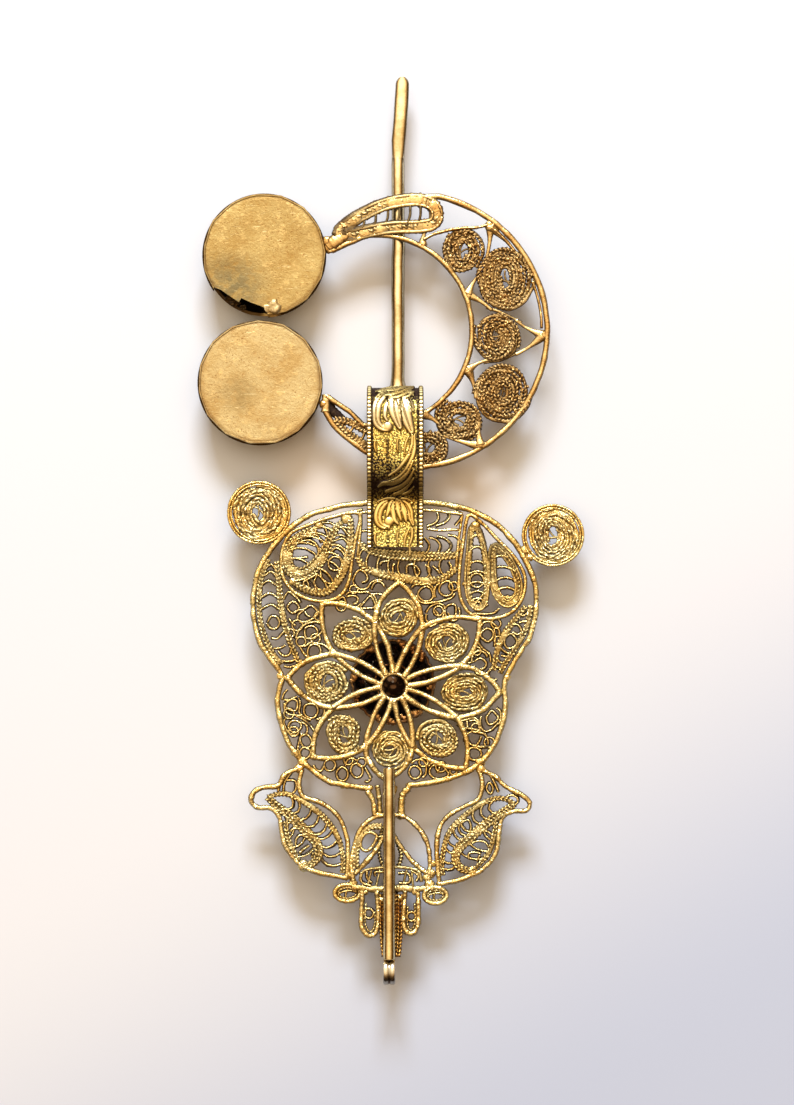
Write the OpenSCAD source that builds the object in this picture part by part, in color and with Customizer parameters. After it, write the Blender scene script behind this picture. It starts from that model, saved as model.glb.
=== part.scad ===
// Fibula brooch, lying face down: a long pin soldered to a strap loop, a crescent ring
// with two hollow discs that turns in the loop, and a filigree plaque with a rosette,
// two birds, a support rod and an eye. X runs across, Y along the pin, Z up from the
// surface that the brooch lies on. Lengths are in millimetres.

/* [Heights] */
// Height of the discs' flat back plates
disc_h = 6.2; // [6:0.1:6.6]
// Height of the crescent ring's underside
ring_z = 5; // [5:0.05:5.1]
// Thickness of the crescent ring
ring_h = 1; // [0.8:0.1:1.1]
// Height of the plaque's underside
plaque_z = 4.4; // [4.4:0.05:4.5]
// Thickness of the plaque
plaque_h = 1; // [0.9:0.05:1]
// Height of the pin's axis
pin_z = 3.6; // [3.5:0.05:3.6]

/* [Pin] */
// Diameter where the pin leaves the strap
pin_root_d = 2.4; // [2.2:0.1:2.5]
// Diameter where the hammered tip begins
pin_d = 2; // [1.8:0.1:2.1]
// Y of the hammered tip's start
pin_flat_y = 63; // [60:1:65]
// Y of the tip's end
pin_tip_y = 75.75; // [75:0.25:78]
// Thickness of the hammered tip
pin_flat_t = 1.1; // [0.8:0.1:1.3]

/* [Strap] */
// Width of the strap
strap_w = 9.4; // [9:0.1:9.6]
// Thickness of the strap
strap_t = 0.8; // [0.7:0.05:0.9]
// Height of the strap's top above the surface
strap_top = 10; // [9.8:0.1:10.4]
// Width of the raised edge
strap_edge_w = 0.85; // [0.6:0.05:1]
// Height of the raised relief
relief_h = 0.35; // [0.2:0.05:0.4]

/* [Crescent] */
// Radius of the crescent's outer wire
ring_r = 22.8; // [22.6:0.1:23]
// Radius of the crescent's inner wire
bow_r = 15.9; // [15.7:0.1:16]
// Width of the crescent's wires
ring_wire = 0.85; // [0.7:0.05:0.9]
// Radius of the upper disc
disc_upper_r = 10.3; // [10:0.1:10.4]
// Radius of the lower disc
disc_lower_r = 10.4; // [10:0.1:10.5]
// Thickness of the discs' sheet
sheet_t = 0.45; // [0.35:0.05:0.6]

/* [Filigree] */
// Width of the plaque's rim wire
rim_wire = 1; // [0.8:0.05:1]
// Width of the petals' wire
petal_wire = 0.6; // [0.5:0.05:0.65]
// Width of a thick twisted strand
strand_wire = 0.8; // [0.6:0.05:0.85]
// Width of a thin wire
thin_wire = 0.3; // [0.25:0.05:0.35]
// Width of the wire round a panel
frame_wire = 0.5; // [0.4:0.05:0.55]
// Width of the wire round a bird
bird_wire = 0.75; // [0.6:0.05:0.8]
// Width of the stem's and the base's wires
stem_wire = 0.6; // [0.5:0.05:0.65]
// Radius of the wire in the coils
coil_wire_r = 0.27; // [0.24:0.01:0.3]
// Distance between a coil's turns
coil_pitch = 0.45; // [0.42:0.01:0.5]

/* [Jewel] */
// Radius of the setting inside its scallops
setting_r = 6.4; // [6.2:0.1:6.5]
// Number of scallops round the setting
scallops = 10; // [8:1:12]
// Radius of the stone in the middle
centre_stone_r = 2.6; // [2.4:0.1:2.7]
// Radius of a stone beside it
side_stone_r = 1.5; // [1.3:0.1:1.6]

/* [Rod] */
// Diameter of the support rod
rod_d = 2; // [1.8:0.1:2.1]
// Y of the rod's upper end
rod_top_y = -39.6; // [-40:0.1:-39]
// Y of the rod's lower end
rod_end_y = -71.4; // [-71.6:0.1:-71]
// Outer radius of the end eye
eye_r = 2.15; // [2:0.05:2.3]
// Radius of the end eye's hole
eye_hole_r = 1.2; // [1:0.05:1.3]

/* [Hidden] */
PETALS = 8;
RING_COILS = 6;
$fn = 48;
GAP = 0.06;

// Centres of the main round shapes
strap_x = 0.7;
ring_c = [3.2, 33.2];
bow_c = [-2.4, 33.2];
disc_upper_c = [-21.1, 45.7];
disc_lower_c = [-21.8, 24.5];
rosette_c = [0.5, -26.1];
setting_c = [0.3, -25.3];
rod_x = -0.3;
eye_y = rod_end_y - eye_r;
pin_x = 1.2;
pin_foot_y = 22;
pin_foot_r = 1.9;
plaque_top = plaque_z + plaque_h;
rod_z = plaque_top + GAP + rod_d / 2;
eye_z = rod_z + rod_d / 2 - eye_r;

// Outline of the pin's hammered tip: up its left side, over the end and down its right side
pin_flat_left = [[0.25, pin_flat_y - 2], [0.1, pin_flat_y + 2], [0.45, pin_flat_y + 6], [0.6, pin_flat_y + 9]];
pin_flat_end = [[0.8, pin_tip_y - 0.7], [1.2, pin_tip_y - 0.1], [1.9, pin_tip_y], [2.7, pin_tip_y - 0.2]];
pin_flat_right = [[3, pin_tip_y - 0.8], [2.9, pin_flat_y + 8], [2.5, pin_flat_y + 3], [2.15, pin_flat_y - 2]];

// Petals of the rosette, anticlockwise from the top
// columns: tip x, tip y, coil x, coil y, coil radius, x and y of the joint after it
petal_table = [
    [1.3, -8.8, 1.3, -14.5, 3.3, -2.7, -15.3],
    [-11.3, -12.3, -6.4, -17.4, 3.2, -9.3, -20.7],
    [-17.3, -24.6, -10.7, -25.4, 3.7, -9.7, -29.7],
    [-13, -37.8, -7.8, -34, 3.2, -4.2, -36],
    [-0.7, -41.5, -0.1, -36.7, 3.2, 3.6, -36.2],
    [12.4, -39.7, 7.7, -34.8, 3.3, 11, -31.3],
    [18.1, -27, 12.2, -27, 3.8, 11.6, -22.7],
    [14.7, -15, 9.3, -18.8, 3.6, 5.3, -16.2]
];
petal_ring_r = 2.2;
petal_half_angle = 11;
petal_bow = 1;
stalk_bow = 0.5;

// Coils in the crescent, from the pin round to the strap
// columns: x, y, radius
ring_coil_table = [
    [12, 46.5, 3.4],
    [19.1, 41.9, 4.7],
    [17.6, 32.2, 3.8],
    [18.6, 22.8, 4.7],
    [11.3, 18.3, 3.6],
    [6.2, 13.6, 3.1]
];

// Coils on the plaque's shoulders
// columns: x, y, radius
corner_left = [-22, 2.9, 5.4];
corner_right = [27, -0.9, 5.3];

// The plaque's outline, from the left of the stem up, over and down
rim_path = [
    [-3.4, -43.1], [-6.4, -42.8], [-10.9, -41.6], [-14.4, -38.9], [-16.9, -35.8],
    [-18.4, -32], [-18.9, -28.2], [-18.2, -24.3], [-20.3, -21.2], [-22.2, -17.6],
    [-23, -12.4], [-22.1, -7], [-19.3, -2.2], [-14.8, 1.8], [-9.6, 3.7], [-3, 4.6],
    [4, 4.7], [11.2, 3.9], [16.6, 1.6], [20.8, -2.3], [23.5, -7.4], [24.2, -12.8],
    [23, -17.9], [20.8, -21.6], [19.1, -25], [19.1, -29.2], [18.1, -33.8],
    [16, -37.6], [12.4, -40.4], [7.6, -41.9], [2.8, -42.6]
];

// Solder lumps that hold the right shoulder coil and the birds
// columns: x, y, radius
rim_lumps = [[22.3, -3.4, 0.9], [-14.8, -38.6, 0.9], [14.8, -38.7, 0.9]];

// Left panel: its frame, the comma, the strand beside it and the chevrons between them
left_frame = [
    [-5.3, 2.7], [-9.6, 2.2], [-13.6, 0.9], [-16.7, -0.6], [-18.1, -3.3], [-18.2, -7],
    [-16.9, -9.6], [-14.4, -11.3], [-11.2, -11.9], [-8.5, -11], [-7, -8.4], [-6.5, -5],
    [-5.9, -1.5]
];
left_comma = [
    [-8.2, 1.4], [-9.6, -0.4], [-10.7, -2.9], [-12.3, -5.6], [-14.9, -7.3], [-17, -6.4],
    [-17.3, -3.9], [-16.2, -1.9], [-14.3, -0.5], [-12.4, 0.2]
];
left_strand = [
    [-6.8, 1.9], [-6.7, -1.2], [-7.3, -4.9], [-8.5, -8], [-10.8, -10.3], [-13.9, -10.1],
    [-16.4, -8.6]
];
left_eye = [-14.5, -4.1, 2.35];
left_ring = [-9.3, -5.6, 1.65];
left_lumps = [[-16.4, -8.6, 0.7], [-7.4, 1.9, 1], [-12, 0.8, 0.8]];
// columns: start x, y, peak x, y, end x, y
left_chevrons = [
    [-9.9, -2.4, -8.9, -1.2, -7.3, -2.3],
    [-9.2, -0.8, -8.2, 0.1, -7.1, -0.8],
    [-11.5, -5.9, -9.6, -8.6, -8.4, -7.4],
    [-13.6, -7.4, -14.6, -8.9, -11.9, -9.9],
    [-12, -3.8, -12.6, -1.6, -14.9, -1.4]
];

// Right panel: its frame, the long loop and the short loop beside it
right_frame = [
    [12.9, 2.4], [12, -2.3], [11.4, -6.9], [11.5, -11], [13.2, -13.9], [16.4, -14.8],
    [19.8, -13.9], [21.9, -11.3], [22.3, -7.7], [20.4, -4.3], [17.6, -1.4], [15.2, 1.1]
];
right_long_loop = [
    [13.5, 0.3], [13, -4.3], [12.7, -8.4], [13.2, -11.8], [14.6, -13.1], [15.7, -11.9],
    [16, -8.4], [15.7, -4.3], [14.7, -0.4]
];
right_short_loop = [
    [17.2, -2.9], [16.9, -6.4], [17.5, -10.3], [19.2, -12.3], [20.9, -11.3], [21.3, -8.8],
    [20.3, -6], [18.9, -3.9]
];
right_chevrons = [
    [13.2, -1.9, 14.3, -1.2, 15.2, -2.1],
    [13, -3.9, 14.2, -3.2, 15.5, -4.1],
    [12.9, -5.9, 14.2, -5.2, 15.7, -6.1],
    [12.9, -10.4, 14.2, -11.6, 15.7, -10.4],
    [17.1, -5.2, 18.2, -4.4, 19.5, -5.3],
    [17, -7, 18.6, -6.2, 20.6, -7.1],
    [17.1, -8.8, 19, -8, 21.1, -8.9]
];
right_ring = [14.3, -8.4, 1.15];
right_lumps = [[14.1, 0.8, 0.8], [12.3, -9, 0.5], [16.4, -9, 0.5], [20.6, -12, 0.6]];

// Panel under the strap's tab: two bowed strands, an arm and the scales between them
fan_upper = [[-5.3, -2.2], [-3.4, -3.4], [-0.7, -4], [3.2, -4.3], [7.4, -4.4], [11, -4.2]];
fan_lower = [[-5.6, -4.4], [-4.6, -6.1], [-2.2, -7.2], [0.9, -7.8], [5.2, -8.5], [8.4, -8.2], [10.9, -6.4]];
fan_side_left = [[-5, 2.9], [-5, 0.6], [-5.3, -2.2], [-5.6, -4.4]];
fan_side_right = [[11.9, 2.6], [11.4, -0.8], [11, -4.2], [10.9, -6.4]];
fan_top = [[-5, 2.9], [-1.5, 3.2], [3, 3.4], [7.5, 3.2], [11.9, 2.6]];
fan_arm = [[5.9, 0.2], [8, -0.1], [11.2, 0.1]];
fan_stalk = [[2.8, 3.2], [3, 0], [3.2, -4.3]];
fan_scales = 8;

// Panels along the lobes' edges, as two strands with scales between them
edge_left_outer = [[-20.4, -4.8], [-21.6, -8], [-22, -12], [-21.5, -16.3], [-19.9, -20.3], [-18.3, -22.4]];
edge_left_inner = [[-19.1, -5.2], [-18.7, -8.6], [-18.4, -12], [-17.7, -15.8], [-16.6, -19.3], [-15.4, -22.1]];
edge_right_outer = [[23.3, -12.6], [22.6, -16.2], [20.9, -19.5], [19.2, -22], [18.2, -23.9]];
edge_right_inner = [[22.5, -12.7], [20.3, -15.4], [18.6, -17.9], [17.6, -20.6], [17.1, -23.4]];
edge_left_scales = 8;
edge_right_scales = 6;

// Left bird: its outline from the nape round the beak and breast, then its back and inside
bird_left_front = [
    [-15.3, -39.8], [-17.6, -40.7], [-18.9, -42.6], [-21.2, -42.9], [-22.9, -43.8],
    [-23.3, -45.2], [-22.2, -46.3], [-20, -46.4], [-18.6, -47.9], [-18.2, -50.6],
    [-17.3, -53.2], [-15.2, -55.7], [-12.3, -57], [-9.2, -57.6], [-7.4, -57.9]
];
bird_left_back = [
    [-14.8, -39.9], [-15.3, -42.3], [-14.6, -44.4], [-11.8, -45.4], [-9.3, -47.2],
    [-7.8, -49.8], [-7.2, -53.2], [-7.4, -57.9]
];
bird_left_wing = [
    [-20.6, -44.5], [-17.8, -43.9], [-15.3, -44.9], [-12.4, -46.8], [-10.4, -48.8],
    [-8.8, -51.4], [-8, -54.4], [-8.1, -57.2]
];
bird_left_sash = [
    [-20.6, -44.5], [-18.9, -46.1], [-16.6, -47.8], [-14.3, -50.1], [-12.5, -52],
    [-12, -54], [-13.1, -55.6], [-14.8, -56]
];
bird_left_breast = [[-17.6, -48.4], [-17.2, -51.2], [-16.2, -53.6], [-14.8, -56]];

// Right bird, the same way
bird_right_front = [
    [15, -39.9], [17.3, -41.1], [19.3, -42.9], [21.6, -44.1], [23.1, -45.5], [22.6, -46.8],
    [20.4, -46.9], [18.7, -47.8], [18, -50.2], [17.7, -53.2], [16.2, -55.8], [13.4, -57.6],
    [10.2, -58.6], [8.1, -59]
];
bird_right_back = [
    [14.7, -40], [15.2, -42.3], [14.6, -44.8], [12, -46.2], [9.5, -47.7], [8, -50],
    [7.6, -53.2], [8.1, -59]
];
bird_right_wing = [
    [20.6, -45.6], [18.2, -44.7], [15.4, -45.5], [12.3, -47.6], [10, -50],
    [8.9, -52.6], [8.5, -55.6], [8.7, -57.6]
];
bird_right_sash = [
    [20.6, -45.6], [18.4, -47.2], [15.8, -49], [13.4, -51.1], [11.2, -53.2],
    [10.8, -55.2], [11.9, -56.5], [13.7, -56.8]
];
bird_right_breast = [[17.5, -48.6], [17.1, -51.2], [16.3, -53.8], [13.7, -56.8]];
bird_scales = 5;

// Stem, arches and base
arch_y = -47.6;
base_bar_y = -59.6;
base_top_y = -56.6;
stem_left = [[-4, -43.5], [-3.1, -44.7], [-2.8, -46], [-2.7, arch_y]];
stem_left_inner = [[-1.6, -43.3], [-2, -45], [-2.1, arch_y]];
stem_right = [[3, -43.1], [1.9, -44.3], [1.7, arch_y]];
arch_left = [[0, arch_y], [-2.7, -47.8], [-4.8, -49.5], [-6.1, -52.3], [-6.6, -55.4], [-6.3, -58.9]];
arch_left_inner = [[-1.5, -49.4], [-3.4, -49.5], [-5, -50.9], [-5.8, -53.6], [-5.8, -56.4]];
arch_right = [[0, arch_y], [2.1, -47.7], [4.2, -49.3], [6, -51.9], [6.5, -55], [6.2, -58.9]];
brace_left = [[-1.2, -51], [-2.6, -53.4], [-4.4, -55.6], [-6.1, -57.4]];
brace_right = [[0.3, -50.6], [1.8, -53], [3.7, -55.4], [6, -57.2]];
drop_left = [
    [-2.4, -50.9], [-2.9, -52.4], [-4, -53.5], [-5, -52.9], [-4.9, -51.4], [-3.8, -50.4]
];
base_top = [[-5.2, -58.6], [-4.6, -56.9], [-2.4, -56.3], [0, -56.2], [2.4, -56.3], [4.6, -56.9], [5.1, -58.6]];
base_bar = [[-6.6, -59.6], [-3, -59.8], [1, -59.7], [4, -59.8], [7.2, -59.7]];
drop_tie = [[-2.3, -51.2], [-1.4, -51]];
// columns: x at the bar, x at the top
base_ties = [[-4, -3.2], [-2.5, -1.8], [1.9, 2.6], [3.8, 3.4]];
// columns: centre x, y, radius in x, radius in y
side_loops = [[-7.3, -60.5, 2.1, 1.4], [7.4, -60.9, 1.9, 1.35]];
u_left = [
    [-4.7, -60.1], [-4.9, -63], [-4.8, -66], [-3.7, -67.6], [-2.6, -66.7], [-2.5, -64.6],
    [-3, -60.1]
];
u_right = [
    [4.3, -60.1], [4.5, -63], [4.3, -65.9], [3.3, -67.3], [2.4, -66.2], [2.4, -63.6],
    [2.7, -60.1]
];
base_lumps = [[-6.3, -59, 0.8], [6.4, -59, 0.9], [0, -47.7, 0.5]];
u_rings = [[-3.7, -63.9, 0.8], [3.4, -64.4, 0.75]];
tongue_outline = [
    [-1.6, -60.6], [-1.9, -63.6], [-1.8, -66], [-1.8, -68.6], [-1.7, -70.4], [-1.2, -71.3],
    [1.1, -71.3], [1.5, -70.4], [1.6, -68.4], [1.6, -66.2], [1.75, -63.6], [1.5, -60.6]
];
tongue_grooves = [-1.05, -0.2, 0.75];

// Crescent: its arms' ends, the joints of its struts and its teardrop scrolls
upper_end = [[-9.6, 48], [-7.4, 50.4], [-4.6, 52.5], [-1.9, 54], [0.8, 54.9], [4.4, 55.4]];
lower_end = [[-4.4, 13.2], [-8.8, 16.6], [-11, 19.9]];
upper_inner_end = [[-9.9, 46.4], [-7.4, 47.6]];
lower_inner_end = [[-7, 19.8], [-9.2, 21.2], [-10.8, 22.3]];
bracket_upper = [[-9.9, 46.2], [-10.2, 48.5]];
bracket_lower = [[-10.9, 19.6], [-10.8, 22.5]];
// columns: start x, y, end x, y
struts = [
    [16.5, 50.6, 8.9, 49.6], [16.5, 50.6, 15.9, 45.6], [16.5, 50.6, 21, 45.7],
    [25.3, 32.4, 21.4, 34.6], [25.3, 32.4, 21.3, 29.6], [14.9, 14.1, 14.8, 18],
    [14.9, 14.1, 9.4, 15.6], [5.3, 47.4, 6, 50.2], [5.3, 47.4, 8.9, 46.9],
    [12.8, 39.2, 14.6, 42.3], [12.8, 39.2, 16.2, 37], [12.8, 26.6, 15.7, 28],
    [12.8, 26.6, 14, 22.6], [5.3, 19.3, 8, 17.4], [1.5, 17.8, 3.5, 14.6]
];
strut_lumps = [[16.5, 50.6, 1], [25.3, 32.4, 0.9], [14.9, 14.1, 0.9], [5.3, 47.6, 0.8], [12.9, 39.2, 1], [12.9, 26.6, 0.9]];
scroll_upper = [
    [-7.6, 49.1], [-4.4, 51.4], [-0.4, 53], [3.6, 53.8], [6.7, 53.8], [8.3, 52.6],
    [8, 51.1], [6.3, 50.5], [2.8, 50.6], [-0.8, 50.3], [-4.6, 49.4]
];
scroll_upper_ties = [[-5, 50, -4.2, 51.8], [-2.9, 50, -2.1, 52.5], [-0.9, 50.4, -0.1, 53.2],
                     [1, 50.6, 1.8, 53.6], [3.3, 50.7, 4, 53.9]];
scroll_lower_outer = [[-9.4, 18.4], [-6.9, 16], [-3.7, 13.9], [0, 12.5], [2.4, 12.3]];
scroll_lower_inner = [[-9.4, 18.4], [-7, 18], [-4, 16.6], [-0.4, 16], [2.4, 15.4]];
scroll_lower_ties = [[-7, 16.1, -6.2, 17.7], [-5, 14.9, -4.4, 16.8], [-2.6, 13.5, -2, 16.3], [0, 12.6, 0.6, 15.9]];

// The torn edge of the upper disc's back plate, from left to right, and its solder lumps
tear = [
    [-29.4, 40.4], [-28.2, 39.9], [-27.1, 39.1], [-25.3, 37.9], [-24.9, 38.6], [-23.9, 38.1],
    [-22.6, 37.6], [-20.7, 36.9], [-20.2, 34], [-31, 34]
];
tear_depth = 2.2;
tear_lump = [-19.9, 36.8, 1.35];
seam_notches = [237, 296];
notch_w = 1.6;

// Points that follow a rule
function unit(v) = v / norm(v);
function left_of(v) = [-v[1], v[0]];
function bend(a, b, c, d, t) =
    0.5 * (2 * b + (c - a) * t + (2 * a - 5 * b + 4 * c - d) * t * t + (3 * b - 3 * c + d - a) * t * t * t);
function curve(p, n = 3) = let (last = len(p) - 1)
    [for (i = [0 : last - 1], s = [0 : n - 1])
        bend(p[max(i - 1, 0)], p[i], p[i + 1], p[min(i + 2, last)], s / n), p[last]];
function closed_curve(p, n = 3) = let (k = len(p))
    [for (i = [0 : k - 1], s = [0 : n - 1])
        bend(p[(i + k - 1) % k], p[i], p[(i + 1) % k], p[(i + 2) % k], s / n)];
function arc(c, r, from, to, n) = [for (i = [0 : n]) c + r * dir(from + (to - from) * i / n)];
function dir(a) = [cos(a), sin(a)];
function angle_of(v) = atan2(v[1], v[0]);
function arch(a, b, rise, n = 5) = let (up = left_of(b - a) * rise / norm(b - a))
    [for (i = [0 : n]) let (t = i / n) a + (b - a) * t + up * 4 * t * (1 - t)];
function at(p, t) = let (k = t * (len(p) - 1), i = min(floor(k), len(p) - 2)) p[i] + (p[i + 1] - p[i]) * (k - i);
function ellipse_points(e, n = 20) = [for (i = [0 : n - 1]) [e[0] + e[2] * cos(i * 360 / n), e[1] + e[3] * sin(i * 360 / n)]];

// Outline of an open wire and of a closed one
function run_normal(p, i) = left_of(unit(p[min(i + 1, len(p) - 1)] - p[max(i - 1, 0)]));
function loop_normal(p, i) = let (k = len(p)) left_of(unit(p[(i + 1) % k] - p[(i + k - 1) % k]));
module wire(p, w) {
    last = len(p) - 1;
    polygon(concat(
        [for (i = [0 : last]) p[i] + run_normal(p, i) * w / 2],
        [for (i = [last : -1 : 0]) p[i] - run_normal(p, i) * w / 2]));
}
module hoop(p, w) {
    k = len(p);
    polygon(
        concat([for (i = [0 : k - 1]) p[i] + loop_normal(p, i) * w / 2],
               [for (i = [0 : k - 1]) p[i] - loop_normal(p, i) * w / 2]),
        [[for (i = [0 : k - 1]) i], [for (i = [0 : k - 1]) k + i]]);
}
module ring(c, r, w) hoop(arc([c[0], c[1]], r, 0, 337.5, 15), w);
module dot(c, r) translate([c[0], c[1]]) circle(r, $fn = 16);

// Scales between two strands: arches that rise along the panel
module scales(a, b, count, rise, w)
    for (i = [1 : count])
        let (t = i / (count + 1))
            wire(arch(at(a, t), at(b, t), rise), w);

// A flat network of soldered wires
module plate(z, h) translate([0, 0, z]) linear_extrude(height = h) offset(delta = 0.01) children();

// A tight coil of twisted wire, seen as its turns side by side
module coil(c, z) {
    outer = c[2] - coil_wire_r;
    turns = floor((outer - 1.15) / coil_pitch);
    translate([c[0], c[1], z])
        rotate_extrude($fn = 64)
            for (i = [0 : turns])
                translate([outer - i * coil_pitch, 0])
                    circle(coil_wire_r, $fn = 16);
}
module petal_coil(i) color("gold") coil([petal_table[i][2], petal_table[i][3], petal_table[i][4]], plaque_z + plaque_h / 2);
module ring_coil(i) color("darkgoldenrod") coil(ring_coil_table[i], ring_z + ring_h / 2);

// A shoulder coil has a plain wire round it
module corner_coil(c) color("gold") {
    coil([c[0], c[1], c[2] - 0.55], plaque_z + plaque_h / 2);
    translate([c[0], c[1], plaque_z + plaque_h / 2])
        rotate_extrude($fn = 64)
            translate([c[2] - 0.4, 0])
                circle(0.4, $fn = 16);
}

// Holes that the coils leave in the networks round them
module petal_coil_room() for (p = petal_table) translate([p[2], p[3]]) circle(p[4] + GAP, $fn = 40);
module corner_room() for (c = [corner_left, corner_right]) translate([c[0], c[1]]) circle(c[2] + GAP, $fn = 40);
module ring_coil_room() for (c = ring_coil_table) translate([c[0], c[1]]) circle(c[2] + GAP, $fn = 40);

// The pin: a round wire with a flared foot, hammered flat at its tip
module pin() color("khaki") difference() {
    union() {
        translate([pin_x, pin_foot_y, pin_z])
            rotate([-90, 0, 0])
                cylinder(h = pin_flat_y - pin_foot_y, d1 = pin_root_d, d2 = pin_d);
        translate([pin_x, pin_foot_y, pin_z])
            rotate([-90, 0, 0])
                cylinder(h = 4, r1 = pin_foot_r, r2 = pin_d / 2);
        translate([0, 0, pin_z - pin_flat_t / 2])
            linear_extrude(height = pin_flat_t)
                polygon(concat(pin_flat_left, pin_flat_end, pin_flat_right));
    }
    strap_round(strap_t / 2 + GAP, strap_w + 2);
}

// The strap's fold: a flat tab, a rise, a flat top, a half turn and the way back under the plaque
tab_z = plaque_top + GAP + strap_t / 2;
fold_r = strap_top / 2 - strap_t / 2;
fold_y = 18.7;
rise_a = 40;
tab_end_y = -2.8;
tab_bend_y = 4.4;
tab_bend_r = 2;
top_y = 11.4;
top_r = 5;
under_y = 9.5;
under_r = 3;
return_a = 50;
under_z = plaque_z - GAP - strap_t / 2;
under_end_y = 3.86;
under_end_r = 2.66;
under_lap = 5.4;
function strap_path() = concat(
    [[tab_end_y, tab_z], [tab_bend_y, tab_z]],
    arc([tab_bend_y, tab_z + tab_bend_r], tab_bend_r, -90 + rise_a / 4, -90 + rise_a, 3),
    arc([top_y, strap_top - strap_t / 2 - top_r], top_r, 90 + rise_a, 90, 6),
    arc([fold_y, strap_t / 2 + fold_r], fold_r, 90, -90, 20),
    arc([under_y, strap_t / 2 + under_r], under_r, -90, -90 - return_a, 5),
    arc([under_end_y, under_z - under_end_r], under_end_r, 90 - return_a, 90, 5),
    [[under_end_y - under_lap, under_z]]);
fold_end_y = fold_y + fold_r + strap_t / 2;
leaf_ys = [2.4, 18.6];
stem_y = 6.6;
module strap_profile(t, w)
    translate([strap_x - w / 2, 0, 0])
        rotate([90, 0, 90])
            linear_extrude(height = w)
                wire(strap_path(), t);
module strap_round(grow, w)
    translate([strap_x - w / 2, fold_y, strap_t / 2 + fold_r])
        rotate([0, 90, 0])
            cylinder(h = w, r = fold_r + grow, $fn = 96);

// Raised leaves and stems, drawn as seen from above, once for the tab and once for the top
module leaf_relief(y) {
    for (k = [0 : 5])
        wire(curve([[-0.3, y], [-1.7 + k * 0.9, y + 1.8], [-2.6 + k * 1.35, y + 4.6]], 4), 0.42);
    wire(curve([[-0.4, y + 0.6], [-1.9, y - 0.9], [-2.5, y - 2.4], [-1.6, y - 3.4]], 4), 0.5);
    dot([-0.9, y - 3], 0.75);
}
module stem_relief(y)
    for (k = [0 : 2])
        wire(curve([[1.2 + k * 0.5, y], [2.2 + k * 0.4, y + 3.4], [1.4 + k * 0.7, y + 7.4]], 4), 0.4);
module strap_loop() color("goldenrod") {
    strap_profile(strap_t, strap_w);
    // Relief is a thicker strap kept only where the drawing lies above it
    intersection() {
        strap_profile(strap_t + 2 * relief_h, strap_w);
        translate([strap_x, 0, plaque_top + GAP])
            linear_extrude(height = strap_top)
                offset(delta = 0.01) {
                    for (s = [-1, 1])
                        translate([s * (strap_w - strap_edge_w) / 2, (tab_end_y + fold_end_y) / 2])
                            square([strap_edge_w, fold_end_y - tab_end_y], center = true);
                    for (y = leaf_ys)
                        leaf_relief(y);
                    stem_relief(stem_y);
                }
    }
}

// Wires of the plaque
module rim_wires() difference() {
    union() {
        wire(curve(rim_path), rim_wire);
        for (c = rim_lumps)
            dot(c, c[2]);
    }
    corner_room();
}
module petal_wires() {
    hoop(arc(rosette_c, petal_ring_r, 0, 345, 23), 0.45);
    for (i = [0 : PETALS - 1]) {
        p = petal_table[i];
        tip = [p[0], p[1]];
        after = [p[5], p[6]];
        q = petal_table[(i + PETALS - 1) % PETALS];
        before = [q[5], q[6]];
        a = angle_of(tip - rosette_c);
        wire(arch(after, tip, petal_bow, 8), petal_wire);
        wire(arch(before, tip, -petal_bow, 8), petal_wire);
        wire(arch(rosette_c + petal_ring_r * dir(a + petal_half_angle), after, stalk_bow, 6), petal_wire);
        wire(arch(rosette_c + petal_ring_r * dir(a - petal_half_angle), before, -stalk_bow, 6), petal_wire);
        dot(after, 0.6);
        dot(tip, 0.45);
    }
}
module plaque_rim() color("gold") plate(plaque_z, plaque_h) rim_wires();
module rosette() color("gold") plate(plaque_z, plaque_h) difference() {
    petal_wires();
    petal_coil_room();
    offset(delta = GAP) rim_wires();
}

// What a panel has to keep clear of
module panel_room() {
    offset(delta = GAP) {
        rim_wires();
        petal_wires();
    }
    petal_coil_room();
    corner_room();
}
module panel() color("goldenrod") plate(plaque_z + 0.1, plaque_h - 0.2) difference() {
    children();
    panel_room();
}
module chevrons(table) for (c = table) wire(curve([[c[0], c[1]], [c[2], c[3]], [c[4], c[5]]], 2), thin_wire);
module left_wires() {
    hoop(closed_curve(left_frame), frame_wire);
    wire(curve(left_comma), strand_wire);
    wire(curve(left_strand), strand_wire);
    ring(left_eye, left_eye[2], thin_wire);
    ring(left_ring, left_ring[2], thin_wire);
    chevrons(left_chevrons);
    for (c = left_lumps)
        dot(c, c[2]);
}
module right_wires() {
    hoop(closed_curve(right_frame), frame_wire);
    hoop(closed_curve(right_long_loop), strand_wire - 0.1);
    hoop(closed_curve(right_short_loop), strand_wire - 0.1);
    ring(right_ring, right_ring[2], thin_wire);
    chevrons(right_chevrons);
    for (c = right_lumps)
        dot(c, c[2]);
}
module fan_wires() {
    wire(curve(fan_upper), strand_wire);
    wire(curve(fan_lower), strand_wire);
    for (p = [fan_side_left, fan_side_right, fan_top, fan_arm, fan_stalk])
        wire(curve(p), frame_wire);
    scales(curve(fan_lower), curve(fan_upper), fan_scales, 0.7, thin_wire);
    for (k = [0 : 2]) {
        wire(arch([6.2 + k * 1.5, -3.9], [7.4 + k * 1.5, 0], 0.8), thin_wire);
        wire(arch([5.9 + k * 1.5, 0.3], [7 + k * 1.5, 3.2], 0.7), thin_wire);
    }
}
module edge_panel(outer, inner, count, rise) {
    wire(curve(outer), petal_wire);
    wire(curve(inner), petal_wire);
    scales(curve(outer), curve(inner), count, rise, thin_wire);
}
module scroll_panel_left() panel() left_wires();
module scroll_panel_right() panel() right_wires();
module fan_panel() panel() difference() {
    fan_wires();
    offset(delta = GAP) {
        hoop(closed_curve(left_frame), frame_wire);
        hoop(closed_curve(right_frame), frame_wire);
    }
}
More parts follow.
